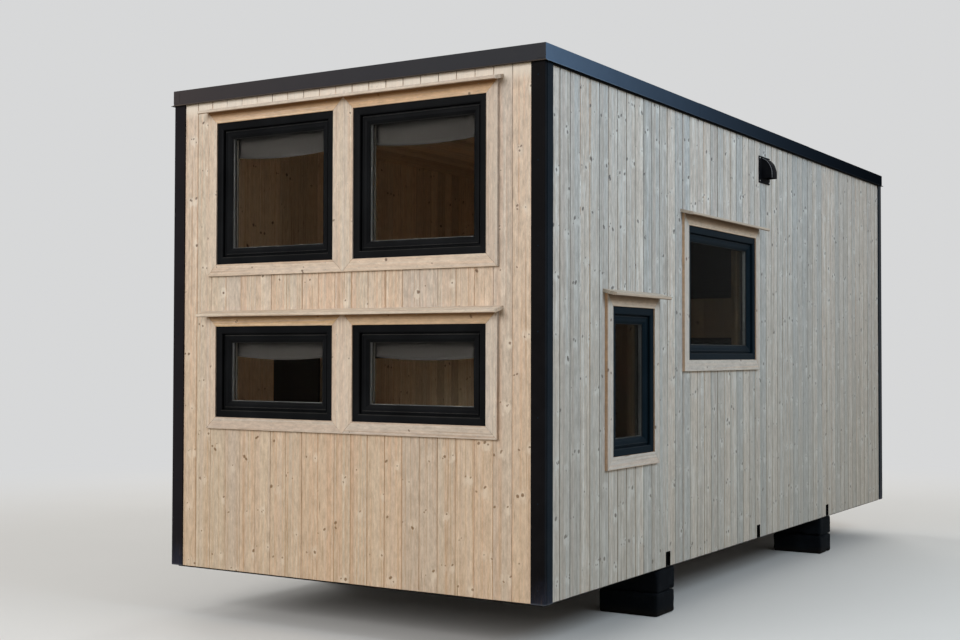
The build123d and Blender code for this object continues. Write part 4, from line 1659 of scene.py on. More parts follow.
@dataclass(frozen=True)
class GlassUnit:
    """Two sealed panes with the seals and the spacer at their edge."""

    front: float = -0.024
    back: float = -0.048
    pane: float = 0.004
    bite: float = 0.01

    def groove(self) -> Section:
        """Return the part of a member's section that takes the unit."""
        deep, near, far = self.bite + 0.001, self.front + 0.0008, self.back - 0.0008
        return [(1, 0.0, near), (1, deep, near), (1, deep, far), (1, 0.0, far)]

    def panes(self, sketch: Sketch, face: Face, edge: Rect) -> None:
        """Add both panes behind a light with this edge."""
        for front in (self.front, self.back + self.pane):
            sketch.plate(face, edge.inset(-self.bite).corners(), front, front - self.pane, 0.0006)

    def seals(self, sketch: Sketch, face: Face, edge: Rect) -> None:
        """Add the seals on both faces.

        Args:
            sketch: Where they go.
            face: The wall.
            edge: The edge of the light.
        """
        for far in (self.front + 0.0001, self.back - 0.0034):
            near = far + 0.0033
            sketch.surround(face, edge, edge.inset(0.0022), [
                (0, -0.0008, far), (0, -0.0008, near), (0, 0.0008, near), (1, 0.0, (near + far) / 2),
                (1, 0.0, far),
            ], 0.0)

    def spacer(self, sketch: Sketch, face: Face, edge: Rect, lift: Flat = (0.0, 0.0)) -> None:
        """Add the bar between the panes.

        Args:
            sketch: Where it goes.
            face: The wall.
            edge: The edge of the light.
            lift: How far the heads of its outline and opening are raised.
        """
        outer, inner = edge.inset(-0.006), edge.inset(0.0042)
        near, far = self.front - self.pane, self.back + self.pane
        sketch.surround(
            face, outer._replace(high=outer.high + lift[0]), inner._replace(high=inner.high + lift[1]), [
                (0, 0.0, near - 0.0002), (1, 0.001, near - 0.0002), (1, 0.0, near - 0.0014),
                (1, 0.0, far + 0.0014), (1, 0.001, far + 0.0002), (0, 0.0, far + 0.0002),
            ], 0.0,
        )


@dataclass
class WindowSet(WallPart):
    """The windows of one wall: frames, sashes, seals and sealed glass units."""

    unit: GlassUnit = GlassUnit()
    band: float = 0.042
    sash_band: float = 0.05
    shadow_gap: float = 0.0026

    def members(self, part: str, outer: float, inner: float, section: Section, edges: range) -> None:
        """Build the frames or the sashes.

        Args:
            part: Their node's name without the wall.
            outer: How far inside the openings their outlines are.
            inner: How far inside the openings their own openings are.
            section: Their section.
            edges: The runs of it with the edges' finish.
        """
        sketch = Sketch()
        for o in self.house.windows(self.side):
            # The edge runs take the dust and painted highlight finish.
            sketch.surround(self.face, o.inset(outer), o.inset(inner), section, other=edges, other_slot=1)
        self.piece(
            sketch, part, "members", self.either(Palette.FRAME_COAT, Palette.SIDE_FRAME_REFLECTION_COAT),
            self.either(Palette.FRAME_EDGE_DUST_AND_HIGHLIGHT, Palette.SIDE_FRAME_EDGE_DUST_AND_HIGHLIGHT), slot="black_frame", smooth=40,
        )

    def glazing(self) -> None:
        """Build the glass, then the seals, the spacers and the inner beads."""
        glass, seals = Sketch(), Sketch()
        for o in self.house.windows(self.side):
            edge = o.inset(self.band + self.sash_band)
            self.unit.panes(glass, self.face, edge)
            seals.slot = 0
            between = o.inset(self.band)
            seals.surround(self.face, between, between.inset(self.shadow_gap), GAP_SEAL, 0.0)
            self.unit.seals(seals, self.face, edge)
            seals.slot = 1
            self.unit.spacer(seals, self.face, edge, (0.0035, 0.008))
            seals.slot = 2
            for left in (edge.left - 0.0008, edge.right - 0.006):
                bead = edge._replace(left=left, right=left + 0.0068)
                seals.plate(self.face, bead.corners(), -0.0545, -0.064, 0.0006)
        self.piece(
            glass, "glass", "panes", self.either(Palette.GLASS, Palette.SHADED_SIDE_GLASS), slot="window_glass"
        )
        seals.piece(
            f"{self.side.value}_seals_and_spacers", Palette.RUBBER, Palette.SPACER, Palette.BEAD,
            slot="black_frame",
        )

    def build(self) -> None:
        """Build every part."""
        gap, light = self.shadow_gap, self.band + self.sash_band
        self.members("window_frames", 0.0, self.band, FRAME_SECTION, range(4, 5))
        self.members("sashes", self.band, light, [
            (0, gap, -0.064), (0, gap, -0.0112), (0, gap + 0.0008, -0.01), (0, gap + 0.0064, -0.01),
            (0, gap + 0.0076, -0.0052), (0, gap + 0.0086, -0.0042), (0, gap + 0.0136, -0.0042),
            (0, gap + 0.0146, -0.0066), (1, 0.0175, -0.0066), (1, 0.0158, -0.008), (1, 0.0034, -0.015),
            (1, 0.0006, -0.017), (1, 0.0, -0.019), *self.unit.groove(), (1, 0.0, -0.06), (1, 0.003, -0.064),
        ], range(3, 7))
        self.glazing()


@dataclass
class Casings(WallPart):
    """Mitred boards round the windows and the door of one wall, with their nails."""

    thickness: float = 0.018
    arris: float = 0.0016
    open_line: float = 0.0005
    nail_step: float = 0.38

    def member(
        self, sketch: Sketch, dice: random.Random, outline: Sequence[Flat], nailed: Rect,
        hood_shaded: bool = False,
    ) -> None:
        """Add one board with its nails.

        Args:
            sketch: Where they go.
            dice: What shifts the nails.
            outline: The board's corners on the wall.
            nailed: The part of it that is nailed.
            hood_shaded: Whether a hood shelters it.
        """
        u0, u1, z0, z1 = nailed
        upright = z1 - z0 > u1 - u0
        shrunk = inset_outline(against_clock(outline), self.open_line / 2)
        grain = (0, 1) if upright else (1, 0)
        # A head board under a hood takes the painted shade finish of the fourth slot.
        sketch.slot = 3 if hood_shaded else 0
        # Each board's edges take the third slot's painted shade or painted light finish.
        sketch.plate(self.face, shrunk, self.thickness, 0.0, self.arris, next(board_numbers), grain, 2, 2)
        sketch.slot = 1
        count = max(2, round(max(u1 - u0, z1 - z0) / self.nail_step) + 1)
        for i, beside in product(range(count), (0.24, 0.76)):
            along = (i + 0.12) / (count - 0.76)
            s, t = (beside, along) if upright else (along, beside)
            u = u0 + (u1 - u0) * s + dice.uniform(-0.002, 0.002)
            z = z0 + (z1 - z0) * t + dice.uniform(-0.003, 0.003)
            sketch.stud(self.face, u, z, self.thickness, 0.0021, 0.0005, 8)

    def build(self) -> None:
        """Build the boards of every window and door."""
        sketch, w = Sketch(), self.house.casing_width
        dice = random.Random(f"{self.side.value} nails")
        for row in self.house.rows(self.side):
            low, high = row[0].low, row[0].high
            foot = 0.0 if row[0] in self.house.doors(self.side) else w
            for edge, far in ((row[0].left, row[0].left - w), (row[-1].right, row[-1].right + w)):
                self.member(
                    sketch, dice, [(far, low - foot), (edge, low), (edge, high), (far, high + w)],
                    Rect(min(edge, far), max(edge, far), low, high),
                )
            for o in row:
                self.member(
                    sketch, dice,
                    [(o.left - w, high + w), (o.left, high), (o.right, high), (o.right + w, high + w)],
                    o._replace(low=high, high=high + w), True,
                )
                if foot:
                    self.member(
                        sketch, dice,
                        [(o.left - w, low - w), (o.right + w, low - w), (o.right, low), (o.left, low)],
                        o._replace(low=low - w, high=low),
                    )
            for a, b in ((p.right, q.left) for p, q in zip(row, row[1:])):
                c = (a + b) / 2
                self.member(
                    sketch, dice, [(a, low), (c, low - w), (b, low), (b, high), (c, high + w), (a, high)],
                    Rect(a, b, low, high),
                )
        self.piece(
            sketch, "casings", "boards", self.either(Palette.TRIM_BOARDS, Palette.SIDE_TRIM), Palette.NAIL,
            self.either(Palette.SHADED_EDGES, Palette.LIT_SIDE_EDGES),
            self.either(Palette.HOOD_SHADE_TRIM, Palette.SIDE_HOOD_SHADE_TRIM), slot="trim_wood",
        )


@dataclass
class Hoods(WallPart):
    """Sloping drip boards above the windows and the door of one wall."""

    overhang: float = 0.024
    projection: float = 0.085
    thickness: float = 0.019
    fall: float = 0.022
    nose: float = 0.0055
    arris: float = 0.0012
    screw_step: float = 0.42

    def board(self, sketch: Sketch, index: int, start: float, end: float, under: float) -> None:
        """Add one board.

        Args:
            sketch: Where it goes.
            index: Its number on the wall.
            start: Its left end.
            end: Its right end.
            under: Its underside's height at the wall.
        """
        p, t, slope = self.projection, self.thickness, self.fall / self.projection
        groove = ((0.016, 0.0), (0.015, 0.0028), (0.011, 0.0028), (0.01, 0.0))
        section = eased([
            (0.0, under + t), (0.0, under),
            *((p - back, under - slope * (p - back) + rise) for back, rise in groove),
            (p, under - self.fall + self.nose), (p, under - self.fall + t),
        ], [0.001, 0.001, 0.0, 0.0, 0.0, 0.0, 0.0024, 0.003])
        middle = sum(z for _, z in section) / len(section)
        long, arris = end - start, self.arris
        rings = []
        for s in (0.0, arris, *(i / 12 * long for i in range(1, 12)), long - arris, long):
            edge = arris if s in (0.0, long) else 0.0
            lift = 0.0009 * space_noise.noise(Vector((s * 1.9, index * 7.0, 0.3)))
            rings.append([
                self.face.at(
                    start + s, z + (middle - slope * out - z) * edge * 8 + lift * out / p,
                    max(0.0, out - edge),
                )
                for out, z in section
            ])
        sketch.slot = 0
        # The underside runs take the painted shade finish of the third slot.
        sketch.loft(rings, next(board_numbers), range(7, 12), 2)

    def build(self) -> None:
        """Build the boards with their screws."""
        sketch, face, w = Sketch(), self.face, self.house.casing_width
        slope = self.fall / self.projection
        for index, row in enumerate(self.house.rows(self.side)):
            start, end = row[0].left - w - self.overhang, row[-1].right + w + self.overhang
            under = row[0].high + w + slope * 0.018
            self.board(sketch, index, start, end, under)
            sketch.slot = 1
            tilt = Face(
                face.at(0, under + self.thickness, 0), face.along, (face.out - face.up * slope).normalized(),
                (face.up + face.out * slope).normalized(),
            )
            count = max(3, round((end - start) / self.screw_step) + 1)
            for i in range(count):
                u = start + 0.05 + (end - start - 0.1) * i / (count - 1)
                sketch.stud(tilt, u, 0.026, 0.0, 0.0036, 0.0006, 10, 0.0012)
        self.piece(
            sketch, "hoods", "boards", self.either(Palette.HOOD_BOARDS, Palette.SIDE_HOODS), Palette.NAIL,
            self.either(Palette.SHADED_HOOD_UNDERSIDE, Palette.SIDE_SHADED_HOOD_UNDERSIDE), slot="trim_wood", smooth=30,
        )


class Hang(NamedTuple):
    """One blind's number, its edges, its roll's centre and its bar's lower edge."""

    index: int
    left: float
    right: float
    top: float
    low: float


@dataclass
class Blinds(WallPart):
    """Roller blinds behind one wall's windows, partly or fully drawn down."""

    roll_radius: float = 0.015
    roll_depth: float = -0.096
    side_gap: float = 0.022
    drops: tuple[float, float] = (0.216, 0.19)
    drawn_gap: float = 0.05
    sag: float = 0.026
    cloth: float = 0.0008

    def build(self) -> None:
        """Build the rolls, the cloths and the bars in their hems."""
        for index, o in enumerate(self.house.windows(self.side)):
            drop = o.high - o.low - self.drawn_gap
            if self.side is Side.FRONT:
                drop = self.drops[index // 2]
            hang = Hang(
                index, o.left + self.side_gap, o.right - self.side_gap, o.high - self.roll_radius,
                o.high - drop,
            )
            self.roll(hang)
            self.curtain(hang, self.hem_bar(hang))

    def part(self, sketch: Sketch, kind: str, index: int, smooth: float, *more: Finish) -> Object:
        """Turn a sketch into a piece of one blind.

        Args:
            sketch: The sketch.
            kind: What the piece is.
            index: The window's number.
            smooth: The angle under which its edges are smooth.
            *more: Its finishes after the cloth's.

        Returns:
            The object.
        """
        wall = self.side.value
        return sketch.piece(
            f"{wall}_blind_{kind}_{index + 1}",
            Palette.BLIND if self.side is Side.FRONT else Palette.SHADED_BLIND, *more, nodes=[f"{wall}_blinds"],
            slot="blind_cloth", smooth=smooth,
        )

    def roll(self, hang: Hang) -> None:
        """Build a roll with the cloth wound on it, and its end caps and pins.

        Args:
            hang: The blind's place.
        """
        sketch, left, right = Sketch(), hang.left, hang.right
        for start, end, radius, slot in (
            (left + 0.004, right - 0.004, self.roll_radius, 0),
            (left, left + 0.0038, self.roll_radius * 0.93, 1),
            (right - 0.0038, right, self.roll_radius * 0.93, 1), (left - 0.01, left, 0.0035, 1),
            (right, right + 0.01, 0.0035, 1),
        ):
            sketch.slot = slot
            stops = ((start, 0.94), (start + 0.0008, 1.0), (end - 0.0008, 1.0), (end, 0.94))
            path = [(self.face.at(u, hang.top, self.roll_depth), radius * share) for u, share in stops]
            sketch.tube(path, self.face.up, 28)
        self.part(sketch, "roll", hang.index, 40, Palette.VENT_PLASTIC)

    def hem(self, t: float) -> float:
        """Return how far above its lowest point the hem is at a share t of its width."""
        return self.sag * (2 * t - 1) ** 2 if self.side is Side.FRONT else 0.0

    def hem_bar(self, hang: Hang) -> Object:
        """Build the flat bar in a hem.

        Args:
            hang: The blind's place.

        Returns:
            The object.
        """
        sketch, wide = Sketch(), hang.right - hang.left - 0.004
        outline = eased([(-0.0035, 0.0), (0.0035, 0.0), (0.0035, 0.014), (-0.0035, 0.014)], 0.003, 4)
        sketch.loft([
            [self.face.at(hang.left + 0.002 + wide * t, hang.low + self.hem(t) + z, -0.0825 + w)
             for w, z in outline]
            for t in (k / 24 for k in range(25))
        ])
        return self.part(sketch, "bar", hang.index, 40)

    def curtain(self, hang: Hang, bar: Object) -> None:
        """Build a cloth that comes off the roll and hangs to its bar.

        Args:
            hang: The blind's place.
            bar: The bar in its hem; not used.
        """
        index, left, right, top, low = hang
        across, down = 40, 24
        grids: list[list[list[Vector]]] = []
        for out in (self.roll_depth + self.roll_radius, self.roll_depth + self.roll_radius - self.cloth):
            grids.append([[] for _ in range(down + 1)])
            for j, i in product(range(down + 1), range(across + 1)):
                s, t = j / down, i / across
                end = low + 0.01 + self.hem(t)
                wave = 0.0011 * sin(t * 9.0 + index) * s * (1 - s) * 4
                wave += 0.0016 * space_noise.noise(Vector((t * 5.0, s * 2.0, index * 3.0))) * s
                grids[-1][j].append(self.face.at(
                    left + (right - left) * t, top + (end - top) * s, out + wave - 0.001 * s
                ))
        sketch = Sketch()
        sketch.slab(*grids, ((right - left) / across, (top - low) / down))
        cloth = self.part(sketch, "cloth", index, 60)
        sag = self.hem(0.0)
        right - left
        top - low - sag / 3
        f"{self.side.value}_blind_roll_{index + 1}"


# Door

@dataclass
class Door(WallPart):
    """A glazed door leaf in its frame, with levers, hinges and a threshold."""

    unit: GlassUnit = GlassUnit()
    band: float = 0.042
    stile: float = 0.105
    bottom_rail: float = 0.22
    handle_level: float = 1.5

    @property
    def opening(self) -> Rect:
        """The door's opening."""
        return self.house.doors(self.side)[0]

    @property
    def light(self) -> Rect:
        """The edge of the glass that shows."""
        return self.opening.inset(self.band).inset(self.stile, self.bottom_rail)

    def frame(self) -> None:
        """Build the frame and its threshold."""
        sketch, o = Sketch(), self.opening
        sketch.surround(self.face, o, o.inset(self.band), FRAME_SECTION)
        sketch.slot = 1
        section = eased([
            (-0.06, o.low + 0.0425), (0.004, o.low + 0.0425), (0.0115, o.low + 0.036),
            (0.0115, o.low + 0.004), (0.0102, o.low + 0.004), (0.0102, o.low + 0.035),
            (0.003, o.low + 0.0422), (-0.06, o.low + 0.0422),
        ], [0.0, 0.002, 0.002, 0.0, 0.0, 0.0, 0.0, 0.0])
        ends = (o.left + self.band + 0.001, o.right - self.band - 0.001)
        sketch.loft([[self.face.at(u, z, w) for w, z in section] for u in ends])
        sketch.piece(
            "door_frame_members", Palette.SIDE_FRAME_REFLECTION_COAT, Palette.SPACER, nodes=["door_frame"],
            slot="black_frame", smooth=40,
        )

    def leaf(self) -> None:
        """Build the leaf's stiles and rails, its glass, and the seals with the spacer."""
        between, light = self.opening.inset(self.band), self.light
        outer = between.inset(0.0026, 0.003)
        leaf, glass, seals = Sketch(), Sketch(), Sketch()
        leaf.surround(self.face, outer, light, [
            (0, 0.0, -0.064), (0, 0.0, -0.0066), (0, 0.0006, -0.0048), (0, 0.002, -0.004), (1, 0.017, -0.004),
            (1, 0.016, -0.0048), (1, 0.0034, -0.015), (1, 0.0, -0.018), *self.unit.groove(), (1, 0.0, -0.061),
            (1, 0.003, -0.064),
        ])
        leaf.piece(
            "door_leaf_members", Palette.SIDE_FRAME_REFLECTION_COAT, nodes=["door_leaf"], slot="black_frame", smooth=40,
        )
        self.unit.panes(glass, self.face, light)
        glass.piece("door_glass_panes", Palette.SHADED_SIDE_GLASS, nodes=["door_glass"], slot="window_glass")
        seals.surround(self.face, between, outer, GAP_SEAL, 0.0)
        self.unit.seals(seals, self.face, light)
        seals.slot = 1
        self.unit.spacer(seals, self.face, light)
        seals.piece("door_seals_and_spacer", Palette.RUBBER, Palette.SPACER, slot="black_frame")

    def handles(self) -> None:
        """Build the lever, its plate and the cylinder on both faces."""
        wall = self.face
        u = self.light.right + self.stile / 2
        sketch = Sketch()
        for depth, turn in ((-0.004, 1.0), (-0.064, -1.0)):
            face = Face(wall.at(u, self.handle_level, depth), wall.along, wall.up, wall.out * turn)
            plate = eased(Rect(-0.02, 0.02, -0.085, 0.085).corners(), 0.012, 5)
            sketch.plate(face, plate, 0.008, 0.0, 0.0016, steps=2)
            sketch.stud(face, 0.0, -0.052, 0.008, 0.0085, 0.0035, 20)
            for z in (0.072, -0.076):
                sketch.stud(face, 0.0, z, 0.008, 0.0038, 0.0012, 12, 0.0014)
            path = [(0.0, 0.006 + 0.006 * k, 0.01 - 0.0004 * k) for k in range(4)]
            for a in (QUARTER * k / 8 for k in range(1, 9)):
                path.append((-0.012 * (1 - cos(a)), 0.024 + 0.012 * sin(a), 0.0088))
            path += [(-0.012 - 0.0155 * k, 0.036, 0.0088 - 0.0002 * k) for k in range(1, 7)]
            path += [(-0.107, 0.036, 0.007), (-0.109, 0.036, 0.0038)]
            sketch.tube([(face.at(x, 0, w), radius) for x, w, radius in path], face.up, flat=0.86)
        sketch.piece(
            "door_lever_handles", Palette.HANDLE, nodes=["door_handles"], slot="handle_metal", smooth=35
        )

    def hinges(self) -> None:
        """Build three barrel hinges on the side away from the lever."""
        sketch, leaf = Sketch(), self.opening.inset(self.band)
        barrels = ((-0.045, -0.0155), (-0.015, 0.015), (0.0155, 0.045))
        for z in (leaf.low + 0.2, (leaf.low + leaf.high) / 2, leaf.high - 0.2):
            for low, high in ((z + a, z + b) for a, b in barrels):
                stops = ((low, 0.86), (low + 0.001, 1.0), (high - 0.001, 1.0), (high, 0.86))
                path = [(self.face.at(leaf.left + 0.0015, up, 0.004), 0.0075 * s) for up, s in stops]
                sketch.tube(path, self.face.out, 18)
        sketch.piece("door_hinges", Palette.SIDE_FRAME_REFLECTION_COAT, slot="black_frame", smooth=40)

    def build(self) -> None:
        """Build every part."""
        for build in (self.frame, self.leaf, self.handles, self.hinges):
            build()


# Black trims, roof and vent

@dataclass
class CornerTrims:
    """Folded black angles over the four corners of the cladding."""

    house: House
    end_width: float = 0.082
    side_width: float = 0.083
    thickness: float = 0.01
    step: float = 0.024
    hem: float = 0.0012
    screw_step: float = 0.45

    def sections(self) -> tuple[list[Flat], list[Flat]]:
        """Return the sections of the end wall's leg with its corner, and of the other leg.

        Returns:
            Both outlines.
        """
        x, y = self.house.half_width, self.house.half_length
        out_x, out_y, step = x + self.thickness, y + self.thickness, self.step
        angle = eased([
            (out_x - 0.002, out_y), (out_x - self.end_width, out_y), (out_x - self.end_width, y), (x, y),
            (x, out_y - step), (out_x - 0.002, out_y - step),
        ], [0.0026, 0.0016, 0.0, 0.0, 0.0, 0.0008], 4)
        leg = eased([
            (out_x, out_y - step - 0.0003), (x, out_y - step - 0.0003), (x, out_y - self.side_width),
            (out_x, out_y - self.side_width),
        ], [0.001, 0.0, 0.0, 0.0016], 4)
        return angle, leg

    def build(self) -> None:
        """Build the angles and their screws."""
        house, sketch, t = self.house, Sketch(), self.thickness
        angle, leg = self.sections()
        low, high = house.cladding_bottom, house.cap_bottom + 0.004
        count = round((high - low) / self.screw_step)
        for turn_x, turn_y in product((-1, 1), (-1, 1)):
            middle = Vector((turn_x * (house.half_width - 0.02), turn_y * (house.half_length - 0.02), low))
            for slot, section, step_run in ((0, angle, range(17, 18)), (1, leg, range(0))):
                rings = [
                    [Vector((turn_x * x, turn_y * y, z)) for x, y in section]
                    for z in (low, low + self.hem, (low + high) / 2, high)
                ]
                rings[0] = [p + (middle - p) * 0.02 for p in rings[0]]
                sketch.slot = slot
                sketch.loft(rings, 0, step_run, 2)
            sketch.slot = 1
            end = house.face(Side.FRONT if turn_y < 0 else Side.REAR)
            side = house.face(Side.RIGHT if turn_x > 0 else Side.LEFT)
            at_end = turn_x * (house.half_width + t - self.end_width / 2) * end.along.x
            at_side = turn_y * (house.half_length + t - self.side_width / 2) * side.along.y
            for i in range(count + 1):
                z = low + 0.07 + (high - low - 0.14) * i / count
                for face, u in ((end, at_end), (side, at_side)):
                    sketch.stud(face, u, z, t, 0.0042, 0.0012, 12, 0.0015)
        sketch.piece(
            "corner_trim_angles", Palette.CORNER_COAT, Palette.SIDE_LEG_REFLECTION_COAT, Palette.STEP_COAT,
            nodes=["corner_trims"], slot="black_metal", smooth=40,
        )


@dataclass
class RoofCaps:
    """Folded sheet caps round the roof's edge, laid in lengths that lap."""

    house: House
    projection: float = 0.015
    drip: float = 0.012
    drip_height: float = 0.009
    kerb: float = 0.045
    sheet: float = 0.0012
    lap: float = 0.045
    step: float = 0.0008

    def section(self, lift: float) -> list[Flat]:
        """Return the folded sheet's section as distances out of the wall and up.

        Args:
            lift: How far a lapping length lies over the one below.

        Returns:
            The outline.
        """
        top, out = self.house.cap_top - self.step + lift, self.projection - self.step + lift
        low, inner, t = self.house.cap_bottom, -self.house.cladding_depth - self.kerb, self.sheet
        kick, drip = low + self.drip_height, out + self.drip
        return eased([
            (inner, top - 0.01), (inner, top), (out, top), (out, kick), (drip, low + 0.0008),
            (drip - 0.0006, low), (drip - 0.0018, low + 0.0008), (out - t, kick + 0.0006), (out - t, top - t),
            (inner + t, top - t), (inner + t, top - 0.01),
        ], [0.0, 0.001, 0.0022, 0.0014, 0.0, 0.0, 0.0, 0.001, 0.0012, 0.0, 0.0])

    def run(self, side: Side, sketch: Sketch) -> None:
        """Add one wall's caps, mitred at both corners.

        Args:
            side: The wall.
            sketch: Where they go.
        """
        face = self.house.face(side)
        half = self.house.half_width if side.end else self.house.half_length
        lengths = 1 if side.end else 3
        for index in range(lengths):
            over = index % 2
            section = self.section(over * self.step)
            start, stop = (-half + k * 2 * half / lengths for k in (index, index + 1))
            ends = (
                (start - over * self.lap, -1.0 if index == 0 else 0.0),
                (stop + over * self.lap, 1.0 if index == lengths - 1 else 0.0),
            )
            rings = [[face.at(u + turn * w, z, w) for w, z in section] for u, turn in ends]
            # The drip runs take the second slot's painted highlight finish.
            sketch.loft(rings, 0, range(12, 15), 1)
        if not side.end:
            for turn, z in product((-1, 1), (3.01, 3.055)):
                u = turn * (half / lengths + self.lap / 2)
                sketch.stud(face, u, z, self.projection, 0.003, 0.001, 10)

    def shade_strip(self, side: Side, sketch: Sketch) -> None:
        """Add a soft black strip under one wall's caps; on the long walls its lower edge shows below the caps
        as a painted shadow line.

        Args:
            side: The wall.
            sketch: Where it goes.
        """
        house = self.house
        reach = house.half_width - 0.074 if side.end else house.half_length - 0.075
        low = house.cap_bottom + (0.004 if side.end else -0.005)
        sketch.slot = 2
        strip = Rect(-reach, reach, low, house.cap_bottom + 0.014)
        sketch.plate(house.face(side), strip.corners(), 0.0125, 0.0, 0.002)
        sketch.slot = 0

    def corner_laps(self, side: Side, sketch: Sketch) -> None:
        """Add the ends of the side caps that fold round onto an end wall.

        Args:
            side: The end wall.
            sketch: Where they go.
        """
        face, out = self.house.face(side), self.projection + 0.0006
        for turn in (-1, 1):
            u = turn * (self.house.half_width + self.projection - 0.0002)
            ends = sorted((u, u - turn * 0.046))
            sketch.plate(face, Rect(*ends, 2.997, 3.0705).corners(), out, out - 0.0016, 0.0004)
            for z in (3.014, 3.052):
                sketch.stud(face, u - turn * 0.03, z, out, 0.0028, 0.001, 10)

    def build(self) -> None:
        """Build the caps of the end walls, then those of the long walls."""
        for part, sides, coats in (
            ("end", (Side.FRONT, Side.REAR), (Palette.LIT_END_CAP_COAT, Palette.END_DRIP_HIGHLIGHT)),
            ("side", (Side.RIGHT, Side.LEFT), (Palette.CAP_COAT, Palette.SIDE_DRIP_HIGHLIGHT)),
        ):
            sketch = Sketch()
            for side in sides:
                self.run(side, sketch)
                if side.end:
                    self.corner_laps(side, sketch)
                self.shade_strip(side, sketch)
            sketch.piece(
                f"{part}_roof_cap_sheets", *coats, Palette.VENT_PLASTIC, nodes=[f"{part}_roof_caps"],
                slot="black_metal", smooth=40,
            )


@dataclass
class RoofSheet:
    """Roofing felt laid in strips across the roof, turned up at the kerb."""

    house: House
    half_x: float = 1.18
    half_y: float = 2.925
    strip: float = 0.92
    lap: float = 0.08
    fade: float = 0.02
    sheet: float = 0.0022
    kerb_rise: float = 0.026
    kerb_reach: float = 0.028

    @staticmethod
    def stations(half: float, margin: float, steps: int) -> list[float]:
        """Return places across the roof, the outer ones close together.

        Args:
            half: Half the width there.
            margin: Where the even steps start.
            steps: Their number.

        Returns:
            The places.
        """
        made = [turn * (half - s) for turn in (-1, 1) for s in (0.0, 0.004, 0.012, 0.03)]
        return made + [margin - half + 2 * (half - margin) * i / steps for i in range(steps + 1)]

    def height(self, x: float, y: float, laps: Sequence[float]) -> float:
        """Return the felt's upper side at a place.

        Args:
            x: The place across the roof.
            y: The place along it.
            laps: Where its laps start.

        Returns:
            The height.
        """
        z = self.house.roof_top + self.sheet
        z += 0.0009 * (1 + space_noise.noise(Vector((x * 3, y * 3, 0.5))))
        for past in (y - lap for lap in laps):
            if past > 0:
                z += self.sheet * min(1.0, max(0.0, 1 - (past - self.lap) / self.fade))
        near = min(self.half_x - abs(x), self.half_y - abs(y))
        z += self.kerb_rise * max(0.0, 1 - near / self.kerb_reach) ** 2
        return min(z, self.house.cladding_top - 0.001)

    def build(self) -> None:
        """Build the felt as one body with its laps."""
        laps, edge = [], -self.half_y + self.strip
        while edge < self.half_y - 0.2:
            laps.append(edge)
            edge += self.strip
        xs = sorted(self.stations(self.half_x, 0.06, 40))
        ys = sorted(self.stations(self.half_y, 0.05, 96) + [e + d for e in laps for d in (-0.001, 0.001)])
        upper = [[Vector((x, y, self.height(x, y, laps))) for x in xs] for y in ys]
        lower = [[Vector((x, y, self.house.roof_top)) for x in xs] for y in ys]
        sketch = Sketch()
        sketch.slab(upper, lower, (0.1, 0.1))
        sketch.piece("roof_sheet_strips", Palette.FELT, nodes=["roof_sheet"], slot="roof_rubber", smooth=25)


